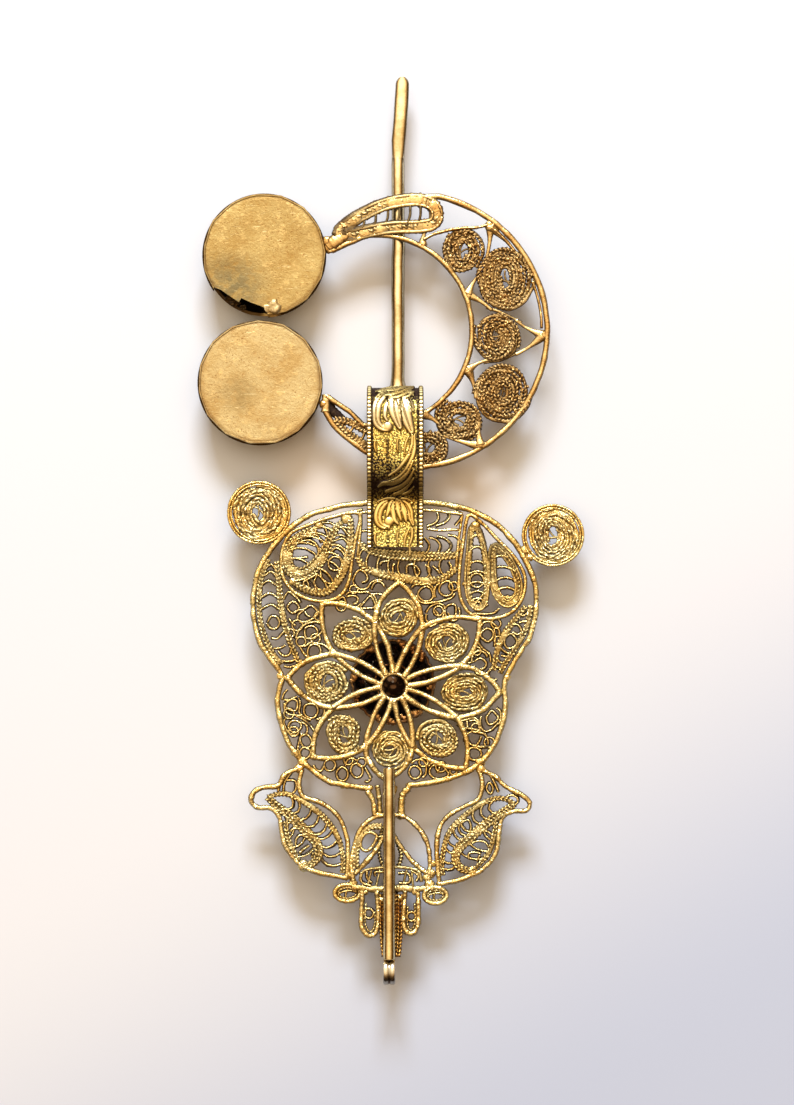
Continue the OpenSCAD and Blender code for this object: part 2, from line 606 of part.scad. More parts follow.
module edge_panel_left() panel() edge_panel(edge_left_outer, edge_left_inner, edge_left_scales, -0.9);
module edge_panel_right() panel() edge_panel(edge_right_outer, edge_right_inner, edge_right_scales, -0.8);

// The jewel on the front: a scalloped gilt cup with a collar and webs between its stones
setting_h = plaque_z - GAP;
collar_r = centre_stone_r + 0.35;
side_ring_r = 4.65;
module cup_outline() difference() {
    union() {
        circle(setting_r + 0.5);
        for (i = [1 : scallops])
            rotate((i + 0.5) * 360 / scallops)
                translate([setting_r - 0.7, 0])
                    circle(2);
    }
    circle(setting_r);
}
module stone_setting() color("darkorange") translate([setting_c[0], setting_c[1], 0]) {
    linear_extrude(height = setting_h)
        cup_outline();
    difference() {
        cylinder(h = setting_h - 0.3, r = collar_r);
        translate([0, 0, -1])
            cylinder(h = setting_h + 2, r = centre_stone_r + GAP / 2);
    }
    for (i = [1 : PETALS])
        rotate((i - 0.5) * 360 / PETALS)
            translate([collar_r - 0.2, -0.2, 0.4])
                cube([setting_r - collar_r + 0.4, 0.4, 2.2]);
}

// A cut stone: its flat table looks down and its pavilion points up
module cut_stone(r, z, crown, pavilion, sides) translate([0, 0, z]) {
    cylinder(h = crown, r1 = 0.6 * r, r2 = r, $fn = sides);
    translate([0, 0, crown])
        cylinder(h = 0.25, r = r, $fn = sides);
    translate([0, 0, crown + 0.25])
        cylinder(h = pavilion, r1 = r, r2 = 0.08 * r, $fn = sides);
}
module centre_stone() color([0.2, 0.12, 0.07]) translate([setting_c[0], setting_c[1], 0])
    rotate(11) cut_stone(centre_stone_r, 0.4, 0.9, 2, 12);
module side_stone(i) color([0.08, 0.05, 0.08])
    translate([setting_c[0], setting_c[1], 0])
        rotate(i * 360 / PETALS)
            translate([side_ring_r, 0, 0])
                cut_stone(side_stone_r, 0.4, 0.7, 1.8, 8);

// Birds
module bird(front, back, wing, sash, breast, blob, rise) color("gold") plate(plaque_z, plaque_h) difference() {
    union() {
        wire(curve(front), bird_wire);
        wire(curve(back), bird_wire);
        wire(curve(wing), frame_wire);
        wire(curve(sash), rim_wire);
        wire(curve(breast), frame_wire);
        scales(curve(sash), curve(wing), bird_scales, rise, thin_wire);
        scales(curve(breast), curve(sash), 3, rise, thin_wire);
        dot(front[0], 0.9);
        dot(blob, 1);
    }
    offset(delta = GAP) rim_wires();
}
module bird_left()
    bird(bird_left_front, bird_left_back, bird_left_wing, bird_left_sash, bird_left_breast, [-14.6, -56], -0.6);
module bird_right()
    bird(bird_right_front, bird_right_back, bird_right_wing, bird_right_sash, bird_right_breast, [13.5, -57], 0.6);
module bird_outlines()
    for (p = [bird_left_front, bird_left_back, bird_right_front, bird_right_back])
        wire(curve(p), bird_wire);

// Stem, arches, base bar and the loops below it
module stem_wires() {
    for (p = [stem_left, stem_left_inner, stem_right, arch_left, arch_right, base_top, u_left, u_right])
        wire(curve(p), stem_wire);
    for (p = [arch_left_inner, brace_left, brace_right])
        wire(curve(p), frame_wire);
    hoop(closed_curve(drop_left), thin_wire);
    wire(drop_tie, thin_wire);
    wire(curve(base_bar), bird_wire);
    for (t = base_ties)
        wire([[t[0], base_bar_y], [t[1], base_top_y]], thin_wire);
    for (e = side_loops)
        hoop(ellipse_points(e), stem_wire);
    for (c = u_rings)
        ring(c, c[2], thin_wire);
    for (c = base_lumps)
        dot(c, c[2]);
    wire([[0, arch_y], [0, base_bar_y]], stem_wire);
}
module stem_base() color("gold") plate(plaque_z, plaque_h) difference() {
    stem_wires();
    offset(delta = GAP) {
        bird_outlines();
        rim_wires();
        petal_wires();
    }
}
module tongue() color("darkgoldenrod") difference() {
    plate(plaque_z + 0.1, plaque_h - 0.1) difference() {
        polygon(curve(tongue_outline, 2));
        offset(delta = GAP) stem_wires();
    }
    for (x = tongue_grooves)
        translate([x, -60, plaque_top])
            rotate([90, 0, 0])
                cylinder(h = 12, r = 0.2, $fn = 16);
}

// The tube on the back and the eye at its end
module support_rod() color("khaki")
    translate([rod_x, rod_top_y, rod_z])
        rotate([90, 0, 0])
            difference() {
                cylinder(h = rod_top_y - rod_end_y, d = rod_d);
                translate([0, 0, -1])
                    cylinder(h = 3, d = rod_d - 0.6);
            }
module end_eye() color("silver")
    translate([rod_x, eye_y - GAP, eye_z])
        rotate([0, 90, 0])
            difference() {
                cylinder(h = rod_d, r = eye_r, center = true);
                cylinder(h = rod_d + 1, r = eye_hole_r, center = true);
            }

// The crescent's wires: an outer and an inner curve, struts between them and brackets at the discs
module ring_wires() {
    wire(concat(curve(upper_end, 2), arc(ring_c, ring_r, 78, -98, 40), curve(lower_end, 2)), ring_wire);
    wire(concat(curve(upper_inner_end, 2), arc(bow_c, bow_r, 96, -98, 36), curve(lower_inner_end, 2)), ring_wire);
    wire(arc(ring_c, ring_r - 1.1, 76, 42, 8), 0.5);
    wire(bracket_upper, 1.4);
    wire(bracket_lower, 1.4);
    for (s = struts)
        wire(arch([s[0], s[1]], [s[2], s[3]], 0.2, 3), 0.6);
    for (c = strut_lumps)
        dot(c, c[2]);
}
module ring_frame() color("darkgoldenrod") difference() {
    plate(ring_z, ring_h) difference() {
        ring_wires();
        ring_coil_room();
        offset(delta = GAP) scroll_wires();
    }
    for (d = [[disc_upper_c, disc_upper_r], [disc_lower_c, disc_lower_r]])
        translate([d[0][0], d[0][1], 0])
            cylinder(h = 20, r = d[1] + GAP);
}
module ties(table) for (t = table) wire([[t[0], t[1]], [t[2], t[3]]], thin_wire);
module scroll_upper_wires() {
    hoop(closed_curve(scroll_upper), 0.95);
    ties(scroll_upper_ties);
}
module scroll_lower_wires() difference() {
    union() {
        wire(curve(scroll_lower_outer), 0.85);
        wire(curve(scroll_lower_inner), 0.85);
        ties(scroll_lower_ties);
        dot(scroll_lower_outer[0], 0.7);
    }
    ring_coil_room();
}
module scroll_wires() {
    scroll_upper_wires();
    scroll_lower_wires();
}
module arm_scroll_upper() color("goldenrod") plate(ring_z, ring_h) scroll_upper_wires();
module arm_scroll_lower() color("goldenrod") plate(ring_z, ring_h) scroll_lower_wires();

// A disc: a hollow box with a domed front that looks down and a hand-cut flat back
function dome(r, low, n = 8) = [for (i = [0 : n]) [r * sin(i * 90 / n), low + (disc_h - 2) * (1 - cos(i * 90 / n))]];
module disc_box(c, r, seed) translate([c[0], c[1], 0]) {
    rotate_extrude($fn = 96)
        difference() {
            polygon(concat(dome(r - 0.25, 0), [[r - 0.25, disc_h - sheet_t], [0, disc_h - sheet_t]]));
            polygon(concat(dome(r - 0.25 - sheet_t, sheet_t), [[r - 0.25 - sheet_t, disc_h - 2 * sheet_t], [0, disc_h - 2 * sheet_t]]));
        }
    translate([0, 0, disc_h - 2 * sheet_t])
        linear_extrude(height = 2 * sheet_t)
            polygon([for (a = [0 : 9 : 351]) (r - 0.12 + 0.12 * sin(3 * a + seed) * cos(5 * a - seed)) * dir(a)]);
}
module disc_upper() color("burlywood") {
    difference() {
        disc_box(disc_upper_c, disc_upper_r, 20);
        translate([0, 0, disc_h - tear_depth])
            linear_extrude(height = 5)
                polygon(tear);
    }
    translate([tear_lump[0], tear_lump[1], disc_h - 0.9])
        sphere(tear_lump[2], $fn = 24);
}
module disc_lower() color("burlywood") difference() {
    disc_box(disc_lower_c, disc_lower_r, 75);
    for (a = seam_notches)
        translate([disc_lower_c[0], disc_lower_c[1], disc_h - 2.2])
            rotate(a)
                translate([disc_lower_r - 1.2, -notch_w / 2, 0])
                    cube([3, notch_w, 0.7]);
}

pin();
strap_loop();
plaque_rim();
rosette();
petal_coil(0);  // petal_coil_1
petal_coil(1);  // petal_coil_2
petal_coil(2);  // petal_coil_3
petal_coil(3);  // petal_coil_4
petal_coil(4);  // petal_coil_5
petal_coil(5);  // petal_coil_6
petal_coil(6);  // petal_coil_7
petal_coil(7);  // petal_coil_8
scroll_panel_left();
scroll_panel_right();
fan_panel();
edge_panel_left();
edge_panel_right();
corner_coil(corner_left);  // corner_coil_left
corner_coil(corner_right);  // corner_coil_right
stone_setting();
centre_stone();
side_stone(1);  // side_stone_1
side_stone(2);  // side_stone_2
side_stone(3);  // side_stone_3
side_stone(4);  // side_stone_4
side_stone(5);  // side_stone_5
side_stone(6);  // side_stone_6
side_stone(7);  // side_stone_7
side_stone(8);  // side_stone_8
bird_left();
bird_right();
stem_base();
tongue();
support_rod();
end_eye();
ring_frame();
ring_coil(0);  // ring_coil_1
ring_coil(1);  // ring_coil_2
ring_coil(2);  // ring_coil_3
ring_coil(3);  // ring_coil_4
ring_coil(4);  // ring_coil_5
ring_coil(5);  // ring_coil_6
arm_scroll_upper();
arm_scroll_lower();
disc_upper();
disc_lower();
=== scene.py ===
# Berber fibula brooch: gilt wires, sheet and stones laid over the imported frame
# Lengths are in millimetres until a piece is finished, which scales it to metres

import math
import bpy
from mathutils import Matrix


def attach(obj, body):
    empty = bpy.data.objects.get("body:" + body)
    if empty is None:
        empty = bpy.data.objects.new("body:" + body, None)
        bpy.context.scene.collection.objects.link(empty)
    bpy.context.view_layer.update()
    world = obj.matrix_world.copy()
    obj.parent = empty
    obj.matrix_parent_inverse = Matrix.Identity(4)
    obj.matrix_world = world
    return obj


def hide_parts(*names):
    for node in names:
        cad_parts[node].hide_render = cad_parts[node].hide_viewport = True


bl_info = {
    "name": "Fibula Brooch",
    "version": (1, 0),
    "blender": (4, 5, 0),
    "location": "View3D > Sidebar > Brooch",
    "description": "Dresses the solids of a filigree fibula with wires, sheet and stones",
    "category": "Object",
}

import bpy
import numpy as np

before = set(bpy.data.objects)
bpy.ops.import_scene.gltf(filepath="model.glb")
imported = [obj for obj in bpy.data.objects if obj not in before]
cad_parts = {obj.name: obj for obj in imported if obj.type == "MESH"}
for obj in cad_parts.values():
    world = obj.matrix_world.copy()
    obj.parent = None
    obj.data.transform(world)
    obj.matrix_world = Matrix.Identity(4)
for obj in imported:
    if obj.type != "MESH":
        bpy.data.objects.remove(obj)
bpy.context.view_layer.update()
MM = 0.001
# How long a stretch the camera sees at the brooch's height, in metres
seen_length = 0.18417

# Heights and sizes that the solids have
disc_h = 6.2
ring_z = 5
ring_h = 1
plaque_z = 4.4
plaque_h = 1
pin_z = 3.6
pin_foot_y = 22.6
pin_flat_y = 63
pin_tip_y = 75.75
pin_flat_t = 1.1
strap_w = 9.4
strap_t = 0.8
strap_top = 10
ring_r = 22.8
bow_r = 15.9
disc_upper_r = 10.3
disc_lower_r = 10.4
centre_stone_r = 2.6
rod_d = 2
rod_top_y = -39.6
rod_end_y = -71.4
eye_r = 2.15
eye_hole_r = 1.2
GAP = 0.06

# Heights of the wires inside the panels and of the tongue's wires
panel_h = 0.85
tongue_h = 0.9

# Centres of the main round shapes
strap_x = 0.7
ring_c = [3.2, 33.2]
bow_c = [-2.4, 33.2]
disc_upper_c = [-21.1, 45.7]
disc_lower_c = [-21.8, 24.5]
rosette_c = [0.5, -26.1]
setting_c = [0.3, -25.3]
pin_x = 1.2
rod_x = -0.3
eye_y = rod_end_y - eye_r
plaque_top = plaque_z + plaque_h
plaque_mid = plaque_z + plaque_h / 2
ring_mid = ring_z + ring_h / 2
rod_z = plaque_top + GAP + rod_d / 2
eye_z = rod_z + rod_d / 2 - eye_r

# Outline of the pin's hammered tip: up its left side, and from the end down its right side
pin_flat_left = [
    [0.25, pin_flat_y - 2], [0.1, pin_flat_y + 2], [0.45, pin_flat_y + 6], [0.6, pin_flat_y + 9],
    [0.8, pin_tip_y - 0.7]
]
pin_flat_right = [
    [3, pin_tip_y - 0.8], [2.9, pin_flat_y + 8], [2.5, pin_flat_y + 3], [2.15, pin_flat_y - 2]
]

# Solder at the pin's foot
# columns: x, y, radius
pin_lumps = [[1.2, 23.2, 1.6], [0.3, 23.3, 0.9], [2.2, 23.4, 0.8]]

# Petals of the rosette, anticlockwise from the top
# columns: tip x, tip y, coil x, coil y, coil radius, x and y of the joint after it
petal_table = [
    [1.3, -8.8, 1.3, -14.5, 3.3, -2.7, -15.3],
    [-11.3, -12.3, -6.4, -17.4, 3.2, -9.3, -20.7],
    [-17.3, -24.6, -10.7, -25.4, 3.7, -9.7, -29.7],
    [-13, -37.8, -7.8, -34, 3.2, -4.2, -36],
    [-0.7, -41.5, -0.1, -36.7, 3.2, 3.6, -36.2],
    [12.4, -39.7, 7.7, -34.8, 3.3, 11, -31.3],
    [18.1, -27, 12.2, -27, 3.8, 11.6, -22.7],
    [14.7, -15, 9.3, -18.8, 3.6, 5.3, -16.2]
]
# Petals whose coil is of fine rope
rope_petals = (0, 4, 6, 7)
# How far the turns of a petal's coil are apart
petal_pitch = {"rope": 0.5, "cord": 0.64}
petal_ring_r = 2.2
petal_bow = 1

# Coils in the crescent, from the pin round to the strap
# columns: x, y, radius
ring_coil_table = [
    [12, 46.5, 3.4],
    [19.1, 41.9, 4.7],
    [17.6, 32.2, 3.8],
    [18.6, 22.8, 4.7],
    [11.3, 18.3, 3.6],
    [6.2, 13.6, 3.1]
]
# How far their turns are apart
ring_pitch = 0.56

# Coils on the plaque's shoulders
# columns: x, y, radius
corner_left = [-22, 2.9, 5.4]
corner_right = [27, -0.9, 5.3]

# The plaque's outline, from the left of the stem up, over and down
rim_path = [
    [-3.4, -43.1], [-6.4, -42.8], [-10.9, -41.6], [-14.4, -38.9], [-16.9, -35.8], [-18.4, -32],
    [-18.9, -28.2], [-18.2, -24.3], [-20.3, -21.2], [-22.2, -17.6], [-23, -12.4], [-22.1, -7],
    [-19.3, -2.2], [-14.8, 1.8], [-9.6, 3.7], [-3, 4.6], [4, 4.7], [11.2, 3.9], [16.6, 1.6],
    [20.8, -2.3], [23.5, -7.4], [24.2, -12.8], [23, -17.9], [20.8, -21.6], [19.1, -25], [19.1, -29.2],
    [18.1, -33.8], [16, -37.6], [12.4, -40.4], [7.6, -41.9], [2.8, -42.6]
]

# Solder on the rim, and a short wire inside its left shoulder
# columns: x, y, radius
rim_lumps = [
    [22.3, -3.4, 0.9], [-14.8, -38.6, 0.9], [14.8, -38.7, 0.9], [23.2, -4.6, 0.7], [-18.4, -24.4, 0.7],
    [19.3, -24.6, 0.7], [-3.5, -43, 0.6], [3, -42.7, 0.6], [-16.1, -37.1, 0.6], [15.6, -38, 0.6],
    [-8, -42.5, 0.6], [9.4, -41.5, 0.6]
]
rim_shoulder = [[-4.6, 3.4], [-7, 2.9], [-9.6, 2.3], [-13.6, 0.9]]

# Left panel: its frame, the comma, the strand beside it, a small ring and the solder
left_frame = [
    [-5.3, 2.7], [-9.6, 2.2], [-13.6, 0.9], [-16.7, -0.6], [-18.1, -3.3], [-18.2, -7], [-16.9, -9.6],
    [-14.4, -11.3], [-11.2, -11.9], [-8.5, -11], [-7, -8.4], [-6.5, -5], [-5.9, -1.5]
]
left_comma = [
    [-8.2, 1.4], [-9.6, -0.4], [-10.7, -2.9], [-12.3, -5.6], [-14.9, -7.3], [-17, -6.4], [-17.3, -3.9],
    [-16.2, -1.9], [-14.3, -0.5], [-12.4, 0.2]
]
left_strand = [
    [-6.8, 1.9], [-6.7, -1.2], [-7.3, -4.9], [-8.5, -8], [-10.8, -10.3], [-13.9, -10.1], [-16.4, -8.6]
]
left_ring = [-9.3, -5.6, 1.65]
left_lumps = [[-16.4, -8.6, 0.7], [-7.4, 1.9, 1], [-12, 0.8, 0.8]]

# Right panel: its frame, the long loop, the short loop beside it, a small ring and the solder
right_frame = [
    [12.9, 2.4], [12, -2.3], [11.4, -6.9], [11.5, -11], [13.2, -13.9], [16.4, -14.8], [19.8, -13.9],
    [21.9, -11.3], [22.3, -7.7], [20.4, -4.3], [17.6, -1.4], [15.2, 1.1]
]
right_long_loop = [
    [13.5, 0.3], [13, -4.3], [12.7, -8.4], [13.2, -11.8], [14.6, -13.1], [15.7, -11.9], [16, -8.4],
    [15.7, -4.3], [14.7, -0.4]
]
right_short_loop = [
    [17.2, -2.9], [16.9, -6.4], [17.5, -10.3], [19.2, -12.3], [20.9, -11.3], [21.3, -8.8], [20.3, -6],
    [18.9, -3.9]
]
right_ring = [14.3, -8.4, 1.15]
right_lumps = [[14.1, 0.8, 0.8], [12.3, -9, 0.5], [16.4, -9, 0.5], [20.6, -12, 0.6]]

# Panel under the strap's tab: two bowed strands, the wires round them and the number of scales
fan_upper = [[-5.3, -2.2], [-3.4, -3.4], [-0.7, -4], [3.2, -4.3], [7.4, -4.4], [11, -4.2]]
fan_lower = [
    [-5.6, -4.4], [-4.6, -6.1], [-2.2, -7.2], [0.9, -7.8], [5.2, -8.5], [8.4, -8.2], [10.9, -6.4]
]
fan_side_left = [[-5, 2.9], [-5, 0.6], [-5.3, -2.2], [-5.6, -4.4]]
fan_side_right = [[11.9, 2.6], [11.4, -0.8], [11, -4.2], [10.9, -6.4]]
fan_top = [[-5, 2.9], [-1.5, 3.2], [3, 3.4], [7.5, 3.2], [11.9, 2.6]]
fan_arm = [[5.9, 0.2], [8, -0.1], [11.2, 0.1]]
fan_stalk = [[2.8, 3.2], [3, 0], [3.2, -4.3]]
fan_scales = 8

# Panels along the lobes' edges: an outer and an inner strand with fine curls between them
edge_outer = {
    "left": [[-20.4, -4.8], [-21.6, -8], [-22, -12], [-21.5, -16.3], [-19.9, -20.3], [-18.3, -22.4]],
    "right": [[23.3, -12.6], [22.6, -16.2], [20.9, -19.5], [19.2, -22], [18.2, -23.9]]
}
edge_inner = {
    "left": [
        [-19.1, -5.2], [-18.7, -8.6], [-18.4, -12], [-17.7, -15.8], [-16.6, -19.3], [-15.4, -22.1]
    ],
    "right": [[22.5, -12.7], [20.3, -15.4], [18.6, -17.9], [17.6, -20.6], [17.1, -23.4]]
}

# Birds: the outline from the nape round the beak and breast, the back and what lies inside
bird_lines = {
    "left": {
        "front": [
            [-15.3, -39.8], [-17.6, -40.7], [-18.9, -42.6], [-21.2, -42.9], [-22.9, -43.8],
            [-23.3, -45.2], [-22.2, -46.3], [-20, -46.4], [-18.6, -47.9], [-18.2, -50.6],
            [-17.3, -53.2], [-15.2, -55.7], [-12.3, -57], [-9.2, -57.6], [-7.4, -57.9]
        ],
        "back": [
            [-14.8, -39.9], [-15.3, -42.3], [-14.6, -44.4], [-11.8, -45.4], [-9.3, -47.2],
            [-7.8, -49.8], [-7.2, -53.2], [-7.4, -57.9]
        ],
        "wing": [
            [-20.6, -44.5], [-17.8, -43.9], [-15.3, -44.9], [-12.4, -46.8], [-10.4, -48.8],
            [-8.8, -51.4], [-8, -54.4], [-8.1, -57.2]
        ],
        "sash": [
            [-20.6, -44.5], [-18.9, -46.1], [-16.6, -47.8], [-14.3, -50.1], [-12.5, -52], [-12, -54],
            [-13.1, -55.6], [-14.8, -56]
        ],
        "breast": [[-17.6, -48.4], [-17.2, -51.2], [-16.2, -53.6], [-14.8, -56]]
    },
    "right": {
        "front": [
            [15, -39.9], [17.3, -41.1], [19.3, -42.9], [21.6, -44.1], [23.1, -45.5], [22.6, -46.8],
            [20.4, -46.9], [18.7, -47.8], [18, -50.2], [17.7, -53.2], [16.2, -55.8], [13.4, -57.6],
            [10.2, -58.6], [8.1, -59]
        ],
        "back": [
            [14.7, -40], [15.2, -42.3], [14.6, -44.8], [12, -46.2], [9.5, -47.7], [8, -50],
            [7.6, -53.2], [8.1, -59]
        ],
        "wing": [
            [20.6, -45.6], [18.2, -44.7], [15.4, -45.5], [12.3, -47.6], [10, -50], [8.9, -52.6],
            [8.5, -55.6], [8.7, -57.6]
        ],
        "sash": [
            [20.6, -45.6], [18.4, -47.2], [15.8, -49], [13.4, -51.1], [11.2, -53.2], [10.8, -55.2],
            [11.9, -56.5], [13.7, -56.8]
        ],
        "breast": [[17.5, -48.6], [17.1, -51.2], [16.3, -53.8], [13.7, -56.8]]
    }
}

# How the scales in each bird bow, and its solder as x, y and radius
bird_rise = {"left": -0.6, "right": 0.6}
bird_lumps = {
    "left": [[-15.3, -39.8, 0.9], [-14.6, -56, 1], [-7.4, -57.9, 0.6]],
    "right": [[15, -39.9, 0.9], [13.5, -57, 1], [8.1, -59, 0.6]]
}

# Stem, arches and base
arch_y = -47.6
base_bar_y = -59.6
base_top_y = -56.6
stem_left = [[-4, -43.5], [-3.1, -44.7], [-2.8, -46], [-2.7, arch_y]]
stem_left_inner = [[-2.3, -42.6], [-2, -44.6], [-1.8, arch_y]]
stem_right = [[3, -43.1], [1.9, -44.3], [1.7, arch_y]]
arch_left = [[0, arch_y], [-2.7, -47.8], [-4.8, -49.5], [-6.1, -52.3], [-6.6, -55.4], [-6.3, -58.9]]
arch_left_inner = [[-1.5, -49.4], [-3.4, -49.5], [-5, -50.9], [-5.8, -53.6], [-5.8, -56.4]]
arch_right = [[0, arch_y], [2.1, -47.7], [4.2, -49.3], [6, -51.9], [6.5, -55], [6.2, -58.9]]
brace_left = [[-1.2, -51], [-2.6, -53.4], [-4.4, -55.6], [-6.1, -57.4]]
brace_right = [[0.3, -50.6], [1.8, -53], [3.7, -55.4], [6, -57.2]]
drop_left = [[-2.4, -50.9], [-2.9, -52.4], [-4, -53.5], [-5, -52.9], [-4.9, -51.4], [-3.8, -50.4]]
base_top = [
    [-5.2, -58.6], [-4.6, -56.9], [-2.4, -56.3], [0, -56.2], [2.4, -56.3], [4.6, -56.9], [5.1, -58.6]
]
base_bar = [[-6.6, -59.6], [-3, -59.8], [1, -59.7], [4, -59.8], [7.2, -59.7]]
drop_tie = [[-2.3, -51.2], [-1.4, -51]]
stem_cords = [
    [[-1.3, -49.3], [-1.9, -51.8], [-2, -54], [-1.3, -56.2]], [[0.8, -51.6], [1.7, -54], [1.2, -56.2]]
]
# columns: x at the bar, x at the top
base_ties = [[-4, -3.2], [-2.5, -1.8], [1.9, 2.6], [3.8, 3.4]]
# columns: centre x, y, radius in x, radius in y
side_loops = [[-7.3, -60.5, 2.1, 1.4], [7.4, -60.9, 1.9, 1.35]]
u_left = [
    [-4.8, -60.1], [-4.9, -63], [-4.9, -66], [-3.8, -67.6], [-2.5, -67], [-2.1, -64.6], [-2.4, -60.1]
]
u_right = [
    [4.5, -60.1], [4.6, -63], [4.5, -65.9], [3.5, -67.3], [2.3, -66.6], [2.1, -63.6], [2.4, -60.1]
]
base_lumps = [
    [-6.3, -59, 0.8], [6.4, -59, 0.9], [0, -47.7, 0.5], [6.6, -57.3, 0.95], [7.1, -55.6, 0.6],
    [5.9, -57.9, 0.7], [-6.8, -57.4, 0.9], [-7, -55.8, 0.6], [1.6, -47.5, 0.75], [-2.3, -47.5, 0.7],
    [-4.6, -59.6, 0.65], [2.6, -59.6, 0.6], [-0.4, -59.6, 0.7], [4.4, -59.9, 0.6], [-1.6, -61.6, 0.5],
    [1.5, -61.4, 0.5], [-4.3, -60.3, 0.6], [3.9, -60.3, 0.6], [0, -43.2, 1.1]
]
u_rings = [[-3.7, -63.9, 0.8], [3.4, -64.4, 0.75]]

# Crescent: its arms' ends, the joints of its struts and its teardrop scrolls
upper_end = [[-9.6, 48], [-7.4, 50.4], [-4.6, 52.5], [-1.9, 54], [0.8, 54.9], [4.4, 55.4]]
lower_end = [[-4.4, 13.2], [-8.8, 16.6], [-11, 19.9]]
upper_inner_end = [[-9.9, 46.4], [-7.4, 47.6]]
lower_inner_end = [[-7, 19.8], [-9.2, 21.2], [-10.8, 22.3]]
bracket_upper = [[-9.9, 46.2], [-10.2, 48.5]]
bracket_lower = [[-10.9, 19.6], [-10.8, 22.5]]
link_upper = [[5.4, 48.3], [7, 49.2], [8.8, 49.7], [11.6, 50.2], [14.4, 50.4], [16.2, 50.9]]
links_under = [[[15.9, 37.1], [18.8, 36], [21.8, 34.5]], [[15.4, 27.9], [18.5, 28.4], [21.6, 29.8]]]
# columns: start x, y, end x, y
struts = [
    [16.5, 50.6, 15.9, 45.6], [16.5, 50.6, 21, 45.7], [25.3, 32.4, 21.4, 34.6],
    [25.3, 32.4, 21.3, 29.6], [14.9, 14.1, 14.8, 18], [14.9, 14.1, 9.4, 15.6], [5.3, 47.4, 6, 50.2],
    [12.8, 39.2, 14.6, 42.3], [12.8, 39.2, 16.2, 37], [12.8, 26.6, 15.7, 28], [12.8, 26.6, 14, 22.6],
    [5.3, 19.3, 8, 17.4], [1.5, 17.8, 3.5, 14.6]
]
strut_lumps = [
    [16.5, 50.6, 1], [25.3, 32.4, 0.9], [14.9, 14.1, 0.9], [5.3, 47.6, 0.8], [12.9, 39.2, 1],
    [12.9, 26.6, 0.9]
]
# Solder where the crescent's ends hold the discs
disc_joints = [[-10.6, 48, 1], [-10.4, 46.9, 0.9], [-11.3, 21, 0.75]]
scroll_upper = [
    [-8.6, 49.4], [-7.2, 50.9], [-5, 52.4], [-1.6, 54], [1.8, 54.8], [4.8, 54.9], [6.9, 54.1],
    [7.7, 52.6], [7, 51], [4.6, 50.5], [0.4, 50.4], [-3.6, 49.8], [-6.6, 49.1]
]
scroll_upper_ties = [
    [-5.4, 49.8, -4.4, 51.4], [-3.3, 50, -2.5, 52.4], [-1.3, 50.3, -0.5, 53.2], [0.6, 50.5, 1.4, 53.6],
    [2.5, 50.6, 3.2, 54], [4.3, 50.6, 4.9, 54], [6, 50.6, 6.4, 53.4]
]
scroll_lower_outer = [[-9.4, 18.4], [-6.9, 16], [-3.7, 13.9], [0, 12.5], [2.4, 12.3]]
scroll_lower_inner = [[-9.4, 18.4], [-7, 18], [-4, 16.6], [-0.4, 16], [2.4, 15.4]]
scroll_lower_ties = [
    [-7, 16.1, -6.2, 17.7], [-5, 14.9, -4.4, 16.8], [-2.6, 13.5, -2, 16.3], [0, 12.6, 0.6, 15.9]
]

# Wedges at the teardrops' points, and the solder on the upper one
upper_wedge = [[-10.6, 47], [-9.4, 48], [-7.6, 48.9]]
lower_wedge = [[-10.5, 20.9], [-9.4, 19.5], [-7.9, 18.6]]
wedge_lumps = [[-7.9, 48.8, 1], [-9, 47.9, 1]]

# The torn edge of the upper disc's back plate, from left to right, and the lump of solder on it
tear = [
    [-29.4, 40.4], [-28.2, 39.9], [-27.1, 39.1], [-25.3, 37.9], [-24.9, 38.6], [-23.9, 38.1],
    [-22.6, 37.6], [-20.7, 36.9], [-20.2, 34], [-31, 34]
]
tear_depth = 2.2
tear_lump = [-19.7, 37.1, 1.35]

# Crumpled foil left in the tear
# columns: x, y, width, height, turn in degrees
foil_table = [[-25.8, 37.9, 1.6, 1.0, 20], [-26.9, 38.4, 1.4, 0.9, -25], [-24.6, 37.1, 0.9, 0.7, 10]]

# Tarnished places on the discs
# columns: x, y, radius
upper_tarnish = [-26.6, 40, 8.5]
lower_tarnish = [-25.4, 22.6, 4.5]

# Edge of a disc's back plate, from its wall inwards
# columns: out from the disc's radius, up from the plate
plate_edge = [
    [-0.1, -1.5], [0.02, -1.2], [0.02, -0.5], [-0.1, -0.35], [-0.1, -0.06], [-0.18, 0.05],
    [-0.34, 0.06], [-0.44, -0.04], [-0.54, -0.04], [-0.7, 0]
]
# In how many straight cuts each back plate was made round, and how many dents it has
plate_cuts = 15
plate_dents = 26

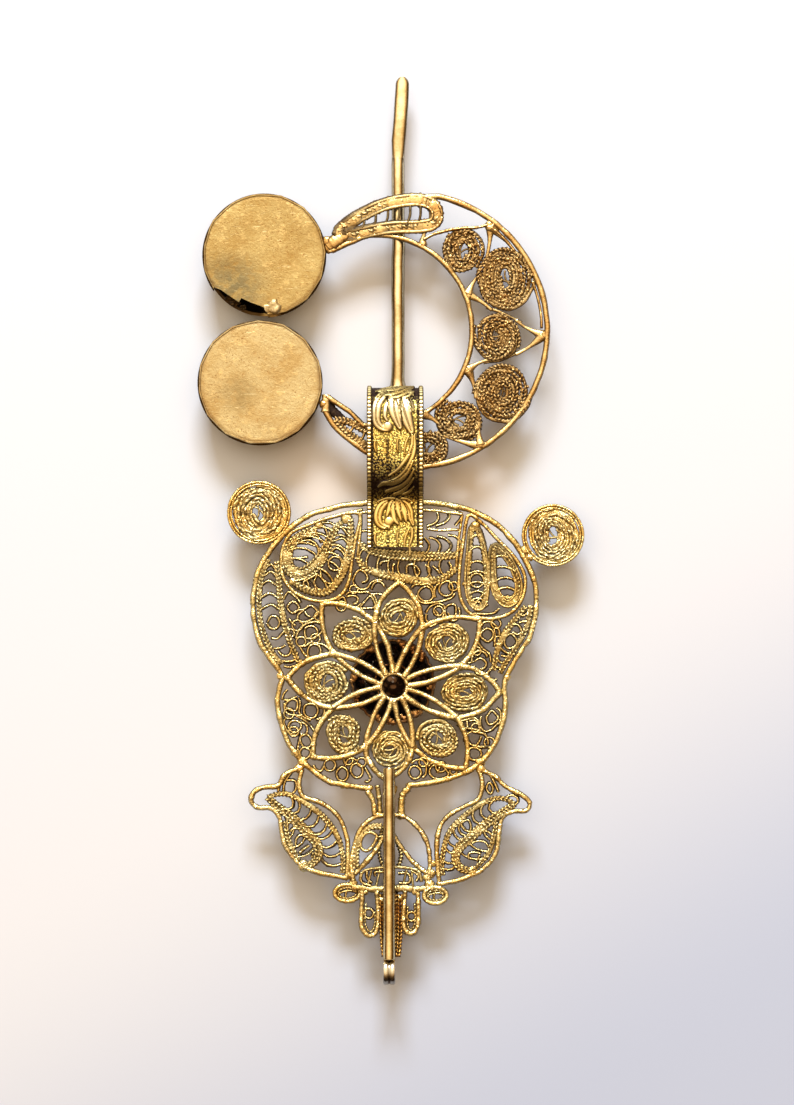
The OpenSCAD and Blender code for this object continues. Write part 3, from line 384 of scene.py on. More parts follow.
# Fine curls and closed rings of thin wire between the petals, in the panels, birds and base
# Each row is one wire: x and y of its points by turns
fine_lines = {
    "left": [
        [-17.9, -11.6, -17.6, -10.9, -17, -10.3, -16.2, -10.9, -15.5, -11.5, -15.1, -12.2],
        [-16.3, -13.9, -15.4, -13.4, -14.5, -13.3, -13.4, -12.6, -12.4, -13.3, -12.2, -14.1, -13, -14.6],
        [-14.5, -13.4, -15.4, -14, -15.6, -14.9], [-15.3, -15.3, -14, -15.2, -12.8, -14.6, -12.1, -13.6],
        [-14.4, -13.6, -14, -14.2, -13.4, -14.4], [-17, -14.8, -16.5, -15.5, -15.8, -15.9],
        [-15.9, -18.2, -15.6, -17.2, -15, -16.3, -14, -15.6, -12.6, -15.3, -11.7, -15.5],
        [-11.2, -16.3, -11.8, -17.3, -13, -18.3],
        [-15.2, -19.3, -14.6, -20.4, -13.9, -21.2, -12.9, -21.6],
        [-12.6, -19, -11.4, -19.1, -10.3, -19.9, -10.2, -20.4, -11, -21.2],
        [-15.3, -19.4, -14.3, -19.4, -13.6, -18.9, -13, -18.6]
    ],
    "upper": [
        [-4.9, -8.8, -4.1, -8.6, -3.9, -8, -4.3, -7.2, -5.2, -6.7, -5.9, -7.2, -6.3, -8.3, -6.2, -8.8,
         -5.8, -9.5, -5, -9.9, -4, -9.7, -3.5, -9, -3.1, -8.6, -2.3, -8.3, -1.4, -8.4],
        [-7.6, -10.9, -7, -10.4, -6, -10.3, -5, -10.4, -4, -10.3, -3.2, -10.7, -2.2, -10.6, -1.2, -10.8,
         -0.5, -10.3, -0.3, -9.6],
        [-8.9, -11.7, -8, -11.2, -7.6, -11.9, -7.3, -12.7, -6.4, -13, -5.5, -12.7, -5, -12.2],
        [-7.4, -11.1, -6.5, -10.9, -5.6, -11.2, -5.6, -12, -6.3, -12.4],
        [-3, -10.8, -2.5, -11.6, -2.4, -12.4, -2.7, -13.4],
        [-3.3, -9.9, -2.9, -9, -2.2, -8.6, -1.4, -8.9, -1, -9.6],
        [3.4, -9.6, 4, -9.1, 5.2, -9.1, 6.2, -9, 7, -9.6, 7.2, -10.6, 7.1, -11.3],
        [4.2, -11, 4.8, -11.9, 5.8, -12.2, 7, -12.1, 8.5, -11.8, 10, -11.3, 10.6, -10.6],
        [8.2, -8.9, 7.5, -9.5, 7.3, -10.5, 7.5, -11.3],
        [5.9, -13.8, 6.4, -12.9, 7.3, -12.4, 8.1, -12.3, 8.9, -12.7, 9, -13.3],
        [5.9, -14, 5.8, -14.9, 6.4, -15.5, 7.2, -15.4, 7.9, -14.8, 7.8, -14, 7.3, -13.4],
        [8.8, -13.4, 8.7, -14.3, 8.2, -15.1, 7.4, -15.7, 6.4, -16.1],
        [9, -13.2, 9.4, -12.6, 10.1, -12.4, 10.7, -12.6, 10.8, -13.4, 10.7, -14.3, 10.3, -14.5,
         9.8, -14.4, 9.4, -13.8],
        [9, -13.4, 9.1, -14.2, 9.6, -14.9, 10.5, -15.1, 11.2, -14.6, 11.5, -13.7, 11.3, -12.9]
    ],
    "right": [
        [15, -16.1, 15.5, -15.4, 16.5, -15.3, 17.4, -15.9, 18, -16.8, 18, -17.6],
        [17.2, -16.5, 17.4, -18, 17.2, -19.5],
        [14.9, -17.3, 14.6, -18.6, 15, -19.4, 15.6, -20, 16.3, -20.5, 16.6, -21.2, 16.6, -22],
        [13.5, -22, 13.6, -21, 14.2, -20.3, 15, -20.2, 15.8, -20.6, 16.1, -21.2],
        [13.9, -22, 14.4, -21.5, 15.2, -21.4, 15.9, -22.1, 15.6, -22.9, 14.9, -23.3],
        [11.8, -22.1, 13.2, -22.1, 13.9, -21.8],
        [13.9, -22.7, 14.2, -23.7, 14.9, -24.1, 15.8, -24, 16.4, -23.5, 17, -22.8],
        [18.3, -20.9, 19.2, -21.1, 20, -21.1], [17.2, -22, 17.4, -22.8, 18, -23, 18.8, -22.9],
        [16.2, -23.8, 16.2, -24.6, 16.8, -25, 17.3, -25.1, 17.6, -24.8],
        [20.2, -15.9, 21, -15.8, 21.6, -16.4, 21.8, -17.3]
    ],
    "lower": [
        [-18.2, -28.4, -17.9, -27.4, -17.2, -26.6], [-17.9, -28.4, -17, -28.4, -16.2, -28, -15.7, -27.8],
        [-17.8, -28.8, -17.7, -30, -17, -30.6, -16, -30.8, -15, -31, -14.2, -31.4, -13.3, -31.7],
        [-15.4, -27.9, -15.1, -29, -15.3, -30.4, -14.7, -31],
        [-12.4, -29, -11.3, -29.6, -11, -30.3, -11.5, -31.2, -12.5, -31.6],
        [-17.2, -31.2, -17.9, -31.8, -17.6, -33, -16.9, -33.9, -15.9, -34],
        [-15, -32, -14.2, -32.4, -13.9, -33.3, -14.2, -34.2],
        [-15.8, -31, -14.4, -31.7, -13.4, -32.6, -12.6, -33.8, -12.3, -34.3],
        [-15, -33.9, -15.4, -35.4, -15.6, -36.5, -15.2, -37.2],
        [-12.9, -39.2, -12.5, -39.9, -11.7, -40.2, -11.2, -39.4],
        [-7.6, -39.4, -7.3, -38.4, -6.5, -38, -5.8, -38.4], [-4.4, -39.6, -3.8, -40.5, -3.3, -41.4],
        [-4.4, -41.8, -3.9, -42, -3.3, -41.5],
        [3.4, -38.9, 4, -38.4, 4.9, -38.3, 5.6, -38.7, 5.9, -39.6, 5.8, -40.7, 5.2, -41.3],
        [8.1, -39.5, 7.8, -40.5], [6.1, -39.4, 6.6, -39, 6.9, -38.8],
        [15, -31, 14.9, -32, 15.1, -33, 15.7, -33.6, 16.6, -33.4, 17.3, -32.8, 17.9, -32.2],
        [17.6, -29.7, 18.2, -30.1, 18.3, -31.3, 18, -32.4],
        [11.1, -32.1, 11.6, -31.8, 12.5, -31.7, 13.3, -31.4, 14, -31.4, 14.5, -31.8, 14.8, -32.6],
        [12.7, -31.8, 12.8, -33], [11, -32.3, 11.8, -32.8, 12.7, -33.1, 14, -33.2, 15, -33.6],
        [13, -31.8, 14, -31.7, 14.6, -32.3, 14.6, -33.1],
        [12.3, -35.3, 12.3, -34.6, 12.8, -33.9, 13.6, -33.6, 14.6, -33.8, 15.6, -34.1, 16.1, -34.9,
         16.2, -35.8],
        [12.8, -34.3, 12.9, -35.2, 13.5, -35.8, 14.2, -35.9, 14.7, -35.2, 15, -34.4],
        [13.8, -35.9, 15, -36.1, 16.2, -36.1], [14.1, -36.2, 15.1, -36.8]
    ]
}
fine_rings = {
    "left": [
        [-17.3, -12.9, -16.3, -11.9, -15.3, -12.9, -16.3, -13.9],
        [-14.3, -16.4, -13.2, -16, -12.3, -16.6, -12.4, -17.6, -13.2, -18.1, -14.2, -17.9],
        [-13.8, -19.8, -13.2, -19.1, -12.2, -19.2, -11.7, -20, -12, -20.9, -12.9, -21.3, -13.8, -21]
    ],
    "upper": [
        [-5.1, -13, -4.6, -12.2, -3.9, -11.4, -3.4, -11, -2.8, -11.9, -2.7, -12.8, -3.4, -13],
        [5.9, -9.4, 6.7, -9.9, 7, -10.9, 6.7, -11.6, 5.9, -11.9, 5.1, -11.6, 4.5, -10.8, 4.9, -9.9],
        [9.5, -8.5, 10.2, -9.2, 10.3, -10.2, 9.9, -10.8, 9, -11, 8.3, -10.6, 8, -9.9, 8.4, -9]
    ],
    "right": [
        [15.3, -16.8, 16.2, -16.4, 17, -17, 16.9, -18, 16.2, -18.6, 15.5, -18.3, 14.9, -17.6],
        [20, -17.3, 20.9, -18.2, 20.9, -19, 20.2, -19.6, 19.4, -19.7, 18.9, -18.9, 19.1, -17.9]
    ],
    "lower": [
        [-17.6, -29.4, -17.3, -28.7, -16.5, -28.2, -15.7, -28.5, -15.6, -29.4, -15.9, -30.1, -16.8, -30],
        [-14.4, -29.4, -13.7, -29, -12.7, -29.1, -12.2, -29.8, -12.3, -30.6, -12.9, -31.3, -13.9, -31.2,
         -14.5, -30.5],
        [-17.1, -32.7, -16.6, -31.9, -15.7, -31.8, -15, -32.3, -15.1, -33.1, -15.8, -33.7, -16.7, -33.5],
        [-15.2, -34.9, -14.8, -34.3, -14, -34.1, -13.4, -34.7, -13.2, -35.5, -13.7, -36.2, -14.6, -36.1],
        [-15.2, -37, -14.7, -36.3, -14, -36.4, -13.4, -36.9, -13.7, -37.8, -14.3, -38.1, -15, -37.8],
        [-9.1, -40.6, -8.7, -39.8, -8, -39.5, -7.3, -40.1, -7.2, -41, -7.8, -41.8, -8.7, -41.6],
        [-6.7, -40.3, -6.5, -39.3, -5.7, -38.9, -5, -39.3, -4.7, -40.2, -5.1, -41.1, -6, -41.2],
        [3, -40.5, 3.3, -39.6, 4, -39.3, 4.8, -39.8, 5, -40.6, 4.5, -41.3, 3.6, -41.4],
        [6.4, -40.3, 6.7, -39.5, 7.5, -39.1, 8.5, -39.3, 9.2, -40, 9.6, -40.7, 9, -41.3, 7.8, -41.5,
         6.8, -41.1],
        [16.8, -30.1, 16.1, -30.9, 15.9, -31.4, 16.2, -32.3, 16.8, -32.4, 17.5, -31.9, 17.9, -31.3,
         17.4, -30.6],
        [13, -36.6, 13, -37.8, 13.5, -38.3, 14.2, -38.3, 14.9, -37.8, 15, -37, 14.4, -36.4, 13.6, -36.3]
    ]
}
fan_curls = [
    [-0.3, -5.2, -1.5, -5.3, -1.9, -5.9], [0.6, -5.6, 0.3, -6, 0.4, -7.2],
    [3.8, -5.7, 2.7, -5.9, 2.6, -7.2], [4.1, -5.9, 4.8, -7, 4, -8],
    [5.8, -5.9, 6.5, -6.5, 6.3, -7.6, 5.9, -7.9], [7, -6, 7.9, -6.8, 8.1, -7.3],
    [9.5, -5.3, 10, -6.1, 9.9, -7], [5.6, -1.3, 6.3, -2.2, 6.3, -3, 5.8, -3.8],
    [6.3, -1.2, 7.5, -1.6, 8.2, -2.6, 7.8, -3.8], [7.6, -1.1, 9, -1.4, 10, -2.5, 9.6, -3.5, 8.6, -4.2],
    [9.4, -0.9, 10.8, -1.1, 11.7, -2.3, 11.4, -3.4, 10.2, -4.1, 8.8, -4.3],
    [6, 0.6, 7.4, 1.2, 7.9, 2, 7.7, 2.9], [7.4, 0.7, 9, 1.3, 9.8, 2.2, 9.6, 3],
    [10.7, 0.7, 11.7, 2, 11.5, 2.8, 10.5, 3.1], [-5, -0.2, -3.8, -0.1]
]
left_panel_curls = [
    [-9.6, -1.9, -8, -1.4, -7, -2.5], [-10.1, -3.9, -9.2, -3, -8.2, -3.5, -7.5, -4.6],
    [-8.6, 0.6, -8, 0.3, -7.2, -0.8], [-11.8, -6.8, -11.6, -8, -10.7, -8.8, -9.7, -9, -8.9, -8.7],
    [-12.2, -7.2, -12.8, -9, -11.6, -10.1], [-12.3, -7.4, -14.6, -8.8, -13.5, -9.9],
    [-16.2, -8.5, -14.2, -8.2],
    [-17.2, -2.6, -16.3, -2, -15.2, -1.4, -13.9, -0.9, -12.4, -0.9, -11.8, -1.6, -11.5, -2.2],
    [-16.6, -2.9, -15.3, -2.1, -14.2, -1.7, -13.2, -1.9, -12.3, -2.7, -12, -3.9],
    [-11.3, 0.8, -10.8, -0.2, -10.7, -1], [-16, -4.8, -13.8, -4.5]
]
right_panel_curls = [
    [12.9, -11.2, 14, -12, 15.4, -10.7], [13.9, -13.2, 15, -13.2, 16.2, -12.4],
    [13.8, -13.9, 16.9, -13.9, 18, -13.1], [17.8, -9.6, 18.4, -10.9, 19.6, -11.4, 20.7, -10.6, 21, -9.3]
]
edge_curls = {
    "left": [
        [-21, -6.6, -20, -5.8, -19.3, -6.6], [-21.2, -7.7, -20, -6.9, -19.1, -7.8],
        [-21.6, -9.2, -20.4, -8.4, -19.1, -9.2], [-21.7, -11.3, -20.2, -10.5, -18.9, -11.2],
        [-21.8, -13.3, -20, -12.4, -18.7, -13.2],
        [-20.6, -15.4, -20, -14.4, -19, -14.5, -18.5, -15.5, -19, -16.4, -20, -16.4, -20.6, -15.6],
        [-20, -18, -19, -18.1, -18.3, -17.4, -17.7, -16.8], [-19.6, -19.8, -18.5, -19.7, -17.6, -19.2],
        [-18.8, -20.1, -18, -20.9, -17, -20.8, -16.6, -19.9, -16.3, -19.4],
        [-18.2, -21.9, -17, -22, -16, -21.6, -15.6, -20.4],
        [-17.9, -22.7, -17, -22.9, -15.5, -22.4, -14.9, -21.6]
    ],
    "right": [
        [22.9, -13.6, 22, -14.3, 21.6, -14.1], [22.7, -15.2, 21.9, -15.3, 21.2, -15.5],
        [22, -16.9, 21.2, -17.4, 20.2, -17], [20, -20.7, 19, -20.3, 18.3, -19.7],
        [18.6, -22.2, 18, -21.9, 17.6, -21.4]
    ]
}
bird_curls = {
    "left": [
        [-18.8, -43.5, -18.5, -42.2, -17.8, -41, -16.8, -40.1],
        [-17.9, -43.5, -17.8, -42.3, -17.3, -41.3, -16.5, -40.2],
        [-17.5, -41.7, -16, -41.8, -15.9, -43.2, -16.5, -44], [-18, -48.8, -17.2, -48.9, -16.4, -48.5],
        [-16.8, -50.3, -16.4, -49.8, -15.5, -49.7],
        [-15.9, -52.7, -15.8, -51.5, -15.1, -50.8, -14.4, -51.1],
        [-13.6, -52.6, -14.8, -53.4, -15.3, -54], [-12.9, -53.7, -13.3, -54.6]
    ],
    "right": [
        [15.3, -40.3, 16.2, -40.5, 17.2, -42, 17.9, -43.7],
        [19, -44.7, 20, -44.2, 21, -44.5, 21.2, -45.3, 20.5, -46], [19.7, -44.9, 19.7, -45.7],
        [15, -50.1, 16.2, -50.3, 17, -51.2, 17.1, -52.3],
        [13.4, -52.2, 14.5, -51.8, 15.7, -52, 16.3, -52.9],
        [13.1, -54.9, 13, -53.9, 14.3, -53.7, 15, -54], [14.8, -54.2, 14.3, -55.2]
    ]
}
bird_rings = {
    "left": [],
    "right": [
        [13.3, -49.8, 13.2, -48.8, 12.7, -48.3, 11.6, -48.9, 11.3, -49.8, 11.7, -50.6, 12.8, -50.9],
        [16.4, -42.1, 17, -43, 16.6, -44, 15.9, -43.1]
    ]
}
base_curls = [
    [-5, -57, -4.9, -58.6, -3.2, -59.2], [-4, -56.8, -4, -58, -3.1, -58.9],
    [-1.2, -57, -2.7, -57, -2.6, -57.7], [1.2, -57.2, 2.9, -57.2, 3.1, -58.7, 1.3, -58.8],
    [3.4, -56.8, 4.6, -57.6, 4.2, -58.6]
]

# Small rings among the fine curls
# columns: x, y, radius
small_rings = {
    "left": [
        [-15.6, -15.9, 0.9], [-12, -14.4, 0.75], [-12.6, -18.1, 0.8], [-15, -18.6, 0.8],
        [-16.8, -17.2, 0.7], [-17, -30.6, 0.85], [-16.2, -33.6, 0.8]
    ],
    "upper": [[-8.3, -12.7, 0.8], [-6.2, -9.9, 0.7], [7.9, -13.5, 0.8], [10.4, -9.4, 0.75]],
    "right": [
        [17.5, -15.6, 0.8], [17.9, -18.4, 0.7], [14.3, -20.2, 0.7], [16.4, -35.4, 0.85],
        [14.1, -33, 0.75]
    ],
    "lower": [
        [-10.2, -39.2, 0.95], [-4.9, -38.7, 0.75], [-7.1, -38.4, 0.75], [5.4, -38.7, 0.75],
        [8.3, -39.5, 0.85], [10.4, -40.2, 0.6]
    ]
}

# Strokes of the strap's relief as seen from above, each with half its width: the palmette on the
# tab, the taller crest that is in its place further along, and the stems above each of them
relief_palmette = [
    ([[0.7, 5.4], [-0.8, 4.7], [-1.8, 3.6], [-2.2, 2.2], [-1.95, 1.1], [-1.2, 0.5], [-0.4, 0.45]], 0.8),
    ([[0.5, 5.3], [0, 4.3], [-0.4, 3.2], [-0.7, 2.3]], 0.5),
    ([[1.4, 5.2], [2.4, 4.3], [3.1, 3.1], [3.3, 2], [3.7, 0.9]], 0.72),
    ([[1.2, 5.3], [1.6, 4.1], [2.2, 2.9], [2.5, 1.5]], 0.58),
    ([[0.9, 5.3], [0.5, 3.9], [0.4, 2.8], [0.6, 1.7], [1.2, 1]], 0.52),
    ([[1, 5.4], [1.1, 4], [1.3, 2.8], [1.7, 1.6]], 0.46),
    ([[0.6, 5.6], [-0.9, 5.5], [-2.3, 4.9]], 0.32), ([[1.7, 5.6], [2.7, 5.4], [3.6, 4.8]], 0.32)
]
relief_crest = [
    ([[0.4, 8.6], [-1, 7.2], [-2.1, 5.6], [-2.5, 3.8], [-2.3, 2.3], [-1.5, 1.4], [-0.6, 1.1]], 0.9),
    ([[0.4, 7.8], [-0.1, 6.2], [-0.8, 4.8], [-1, 3.4], [-0.6, 2.6]], 0.5),
    ([[1.8, 8], [2.4, 6.4], [3.1, 5.2], [3.6, 4.2]], 0.75),
    ([[1.4, 8], [1.7, 6], [2.2, 4.2], [2.8, 2.4], [3.4, 0.8]], 1.2),
    ([[1, 8.2], [0.6, 6.2], [0.5, 4.6], [0.9, 3], [1.5, 1.5]], 1.05),
    ([[1.2, 8.4], [1.1, 6.6], [1.3, 5.2]], 0.4), ([[0, 8.6], [-1.4, 7.6], [-2.6, 6.2]], 0.3),
    ([[0.2, 9.2], [-1.2, 8.6], [-2.5, 7.6]], 0.28), ([[0.6, 9.3], [0.2, 8.3], [-0.9, 6.8]], 0.26),
    ([[2, 8.8], [3, 8.2], [3.7, 6.8]], 0.34), ([[1.6, 9.2], [2.2, 8], [2.7, 6.6]], 0.28)
]
relief_stems = [
    ([[3.5, 16.6], [3.6, 14.8], [3.2, 13.1], [2.4, 11.6], [1.2, 10.2], [-0.4, 9.2]], 0.42),
    ([[3.9, 15.6], [3.9, 13.4], [3.4, 11.6], [2.4, 10], [1.1, 8.9], [-0.7, 8.3]], 0.4),
    ([[-2.1, 7.6], [-1.2, 8.1], [0.2, 8.1], [1.6, 8.6], [2.8, 9.7], [3.7, 11.4]], 0.42),
    ([[-0.9, 6.8], [0.3, 7.1], [1.7, 7.6], [2.9, 8.6], [3.8, 10.1]], 0.42),
    ([[0.4, 6.3], [1.4, 6.6], [2.6, 7.4], [3.7, 8.8]], 0.36),
    ([[1.9, 6.3], [3, 6.7], [3.8, 7.6]], 0.28), ([[3.5, 0.3], [3.5, -1.2], [3, -2.8]], 0.3),
    ([[2.9, 0], [2.4, -1.2], [2.2, -2.8]], 0.26), ([[-2.6, -0.6], [-2.7, -1.6], [-2.4, -2.6]], 0.26),
    ([[1.2, -0.2], [1, -1.4], [1.2, -2.6]], 0.2)
]
relief_period = 15.4
# Beads of the relief, and rows of small ones
# columns: x, y, radius
relief_balls = [[-0.35, 1.35, 0.9], [3.4, 4.5, 0.4]]
crest_balls = [[-0.55, 1.6, 0.9], [3.3, 7.4, 0.6]]
# columns: x, first y, last y, spacing, radius
relief_beads = [[-0.5, -2.6, -0.4, 0.55, 0.2], [-0.6, 9.6, 15.2, 0.58, 0.22]]
# The milled edges: where the middle of each is, and how far apart their bars are
milled_edges = (-3.6, 4.98)
milled_step = 0.63
# How far from the strap's middle its rubbed edges begin and the painted dark line of shade inside them runs
rubbed_out = 3.88
dark_line_out = 3.74
# Where along the strap shade is painted dark, at its rise, above that and at its fold, and where it is
# rubbed on its bend
rise_at = 7.7
above_rise_at = 10.4
fold_from = 20.8
bend_from = 15.5
bend_to = 22.2
# Points across the strap's outer face, which carries the relief, and the number of its dents
face_points = 94
strap_dents = 60

# How far each coil is from round
# columns: stretch along x, stretch along y
petal_ovals = [
    [1.03, 1.03], [1.05, 0.97], [1.04, 0.98], [1, 1.05], [1.04, 1.02], [1.05, 1.02], [1.1, 0.84],
    [1.05, 0.93]
]
ring_ovals = [[0.98, 1.08], [1.03, 1.08], [1.02, 1.08], [1.02, 1.03], [1.06, 0.97], [1, 1]]

# How far each coil's eye is from round
petal_eyes = [
    [1.1, 0.8], [1.2, 0.75], [0.9, 1.1], [0.8, 1.15], [1, 0.7], [1, 0.9], [1.25, 0.55], [1.15, 0.85]
]
ring_eyes = [[0.65, 1.25], [0.7, 1.4], [0.55, 0.8], [0.6, 0.75], [1.1, 0.85], [1.15, 0.8]]

# Directions in which solder lies between the stones, and the three lumps at each of them
setting_ways = [123, 75, 59, 42, -7, -55, -72, -95, -115, -159, 172]
# columns: distance from the middle, radius, turn in degrees
setting_lumps = [[6.5, 0.75, 0], [6.8, 0.55, 6], [6, 0.5, -4]]

# A large soft light beyond the pin's point, and the point above which the camera stands, in metres
light_place = (-0.05, 0.85, 0.53)
light_tilt = -58
light_wide = 0.42
light_high = 0.24
light_power = 13.5
light_tone = (0.87, 0.94, 1.0)
camera_over = (0.001, -0.00375, 0.005)

# The sky: where it is brightest, how strong it is and its light from the dark side to the bright one
sky_top = (-0.1, 0.42, 0.902)
sky_strength = 1.85
# columns: level, red, green, blue
sky_light = [
    [0.5, 0.03, 0.014, 0.005], [0.7, 0.09, 0.045, 0.015], [0.83, 0.4, 0.23, 0.1],
    [0.93, 0.95, 0.72, 0.43], [1, 1, 0.9, 0.73]
]

# Points that follow a rule

def smooth(points, closed=False, n=4):
    """A soft line through points read one by one."""
    p = [np.array(q, float) for q in points]
    k = len(p)
    out = []
    for i in range(k if closed else k - 1):
        if closed:
            a, b, c, d = p[i - 1], p[i], p[(i + 1) % k], p[(i + 2) % k]
        else:
            a, b, c, d = p[max(i - 1, 0)], p[i], p[i + 1], p[min(i + 2, k - 1)]
        for s in range(n):
            t = s / n
            out.append(0.5 * (2 * b + (c - a) * t + (2 * a - 5 * b + 4 * c - d) * t * t
                              + (3 * b - 3 * c + d - a) * t ** 3))
    if not closed:
        out.append(p[-1])
    return np.array(out)


def spaced(points, step, closed=False):
    """The same line with its points an even step apart."""
    p = np.asarray(points, float)
    if closed:
        p = np.vstack([p, p[:1]])
    along = np.concatenate([[0], np.cumsum(np.linalg.norm(np.diff(p, axis=0), axis=1))])
    marks = np.linspace(0, along[-1], max(3, int(round(along[-1] / step)) + 1))
    out = np.stack([np.interp(marks, along, p[:, k]) for k in range(p.shape[1])], 1)
    return out[:-1] if closed else out


def beside(points, gap, closed=False):
    """The line moved to its left by a gap."""
    p = np.asarray(points, float)
    t = np.roll(p, -1, 0) - np.roll(p, 1, 0) if closed else np.gradient(p, axis=0)
    t = t / np.linalg.norm(t, axis=1)[:, None]
    return p + gap * np.stack([-t[:, 1], t[:, 0]], 1)


def direction(a):
    """A step of one at an angle in degrees, anticlockwise from the right."""
    return np.array([math.cos(math.radians(a)), math.sin(math.radians(a))])


def arc(c, r, start, end, n):
    """Points from one angle to another round a centre."""
    return np.array([np.array(c[:2]) + r * direction(start + (end - start) * i / n) for i in range(n + 1)])


def circle(c, r, n=40):
    return arc(c, r, 0, 360 - 360 / n, n - 1)


def arch(a, b, rise, n=8):
    """A bow from a to b that rises on its left side."""
    a = np.array(a, float)
    b = np.array(b, float)
    up = np.array([a[1] - b[1], b[0] - a[0]]) * rise / np.linalg.norm(b - a)
    return np.array([a + (b - a) * i / n + up * 4 * i / n * (1 - i / n) for i in range(n + 1)])


def at(points, t):
    """The place that is a share t of the way through a line's points."""
    k = t * (len(points) - 1)
    i = min(int(k), len(points) - 2)
    return points[i] + (points[i + 1] - points[i]) * (k - i)


def ellipse(e, n=32):
    a = np.arange(n) * 2 * math.pi / n
    return np.stack([e[0] + e[2] * np.cos(a), e[1] + e[3] * np.sin(a)], 1)


def spiral(c, outer, seed, pitch, oval=(1, 1), eye=(1, 1), inner=1.15, arms=1, arm=0, step=0.12):
    """A coil from its outer end inwards, uneven as wound by hand, or one of its arms."""
    rng = np.random.default_rng(seed)
    total = (outer ** 2 - inner ** 2) * math.pi / (pitch * arms)
    s = np.linspace(0, total, int(total / step))
    r = np.sqrt(outer ** 2 - s * pitch * arms / math.pi)
    turn = rng.uniform(0, 6) + (outer - r) * 2 * math.pi / (pitch * arms) * (1 if seed % 2 else -1)
    turn = turn + arm * 2 * math.pi / arms
    lean = rng.uniform(0, 6)
    far = ((r - inner) / (outer - inner))[:, None]
    knots = int(total / 1.1)
    drift = np.interp(s, np.linspace(0, total, knots), rng.normal(0, 0.085, knots))
    r = r * (1 + 0.03 * np.sin(2 * turn + lean)) + 0.05 * np.sin(3 * turn + lean * 2) + drift
    shape = far * np.array(oval) + (1 - far) * np.array(eye)
    return np.stack([r * np.cos(turn), r * np.sin(turn)], 1) * shape + np.array(c[:2])


# Meshes

def deselect():
    bpy.ops.object.select_all(action="DESELECT")


def active(ob):
    deselect()
    ob.select_set(True)
    bpy.context.view_layer.objects.active = ob


def settle():
    """Works the active object's place, turn and size into its points."""
    bpy.ops.object.transform_apply(location=True, rotation=True, scale=True)


def edit(*steps):
    """Runs edit-mode steps, each on all of the active mesh."""
    bpy.ops.object.mode_set(mode="EDIT")
    for step in steps:
        bpy.ops.mesh.select_all(action="SELECT")
        step()
    bpy.ops.object.mode_set(mode="OBJECT")


def outward():
    bpy.ops.mesh.normals_make_consistent(inside=False)


def inward():
    bpy.ops.mesh.normals_make_consistent(inside=True)


def merge():
    bpy.ops.mesh.remove_doubles(threshold=0.0005)


def close_ends():
    bpy.ops.mesh.fill_holes(sides=0)


def shade(angle):
    bpy.ops.object.shade_smooth_by_angle(angle=math.radians(angle))


def to_metres(ob, tall=1.0, z=0.0):
    """Settles a piece drawn in millimetres into its mesh, in metres."""
    active(ob)
    ob.scale = (MM * ob.scale.x, MM * ob.scale.y, MM * ob.scale.z * tall)
    ob.location = (ob.location.x * MM, ob.location.y * MM, ob.location.z * MM * tall + z * MM)
    settle()
    return ob


def joined(parts, name):
    deselect()
    for part in parts:
        part.select_set(True)
    bpy.context.view_layer.objects.active = parts[0]
    if len(parts) > 1:
        bpy.ops.object.join()
    ob = bpy.context.object
    ob.name = name
    ob.data.name = name
    return ob


def points_of(ob):
    co = np.empty(len(ob.data.vertices) * 3)
    ob.data.vertices.foreach_get("co", co)
    return co.reshape(-1, 3)


def set_points(ob, co):
    ob.data.vertices.foreach_set("co", np.asarray(co, float).ravel())
    ob.data.update()


def mark(ob, name, values):
    """Stores one number for each vertex, for the materials to read."""
    layer = ob.data.attributes.get(name) or ob.data.attributes.new(name, "FLOAT", "POINT")
    layer.data.foreach_set("value", np.asarray(values, float))


def hand_over(ob, kind, node=None, body="brooch"):
    """Gives a finished piece its finish and its place in the frame."""
    ob.data.materials.clear()
    ob.data.materials.append(finish(kind))
    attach(ob, body)
    if node:
        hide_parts(node)


def empty_curve(section=None):
    """A curve object without lines, which a section can be swept along."""
    deselect()
    bpy.ops.curve.primitive_bezier_curve_add(radius=1)
    ob = bpy.context.object
    ob.data.splines.clear()
    ob.data.dimensions = "3D"
    if section:
        ob.data.twist_mode = "Z_UP"
        ob.data.bevel_mode = "OBJECT"
        ob.data.bevel_object = section
    return ob


def add_line(ob, points, closed=False, **values):
    """Adds a line to a curve, with values such as a radius for each of its points."""
    spline = ob.data.splines.new("POLY")
    spline.points.add(len(points) - 1)
    spline.points.foreach_set("co", np.column_stack([points, np.ones(len(points))]).ravel())
    for name, numbers in values.items():
        spline.points.foreach_set(name, numbers)
    spline.use_cyclic_u = closed


def curve_to_mesh(ob, section=None):
    active(ob)
    bpy.ops.object.convert(target="MESH")
    if section:
        bpy.data.objects.remove(section)
    return bpy.context.object


def section_circle():
    deselect()
    bpy.ops.curve.primitive_bezier_circle_add(radius=0.5)
    return bpy.context.object


# Sections of the wires, and how far a hammered one goes from round, at 2, towards square
# columns: points round the section, depth of its lobes, step along the wire
SECTIONS = {
    "round": (12, 0.0, 0.25),
    "fine": (6, 0.0, 0.2),
    "rope": (8, 0.15, 0.15),
    "cord": (8, 0.22, 0.13)
}
squareness = 2.4


def section_loop(form):
    """A section one across, as a closed curve, and how deep in a groove each of its points lies, where
    shade is painted.
    """
    count, lobe = SECTIONS[form][:2]
    a = np.arange(count) * 2 * math.pi / count
    r = 0.5 * (1 - lobe + lobe * np.cos(2 * a))
    if not lobe:
        # A wire that was hammered a little has flatter sides than a round one
        r = 0.5 / (np.abs(np.cos(a)) ** squareness + np.abs(np.sin(a)) ** squareness) ** (1 / squareness)
    loop = section_circle()
    loop.data.splines.clear()
    add_line(loop, np.stack([r * np.cos(a), r * np.sin(a), a * 0], 1), True)
    loop.data.dimensions = "2D"
    loop.data.fill_mode = "NONE"
    return loop, ((1 - np.cos(2 * a)) / 2) ** 2 * (1 if lobe else 0)


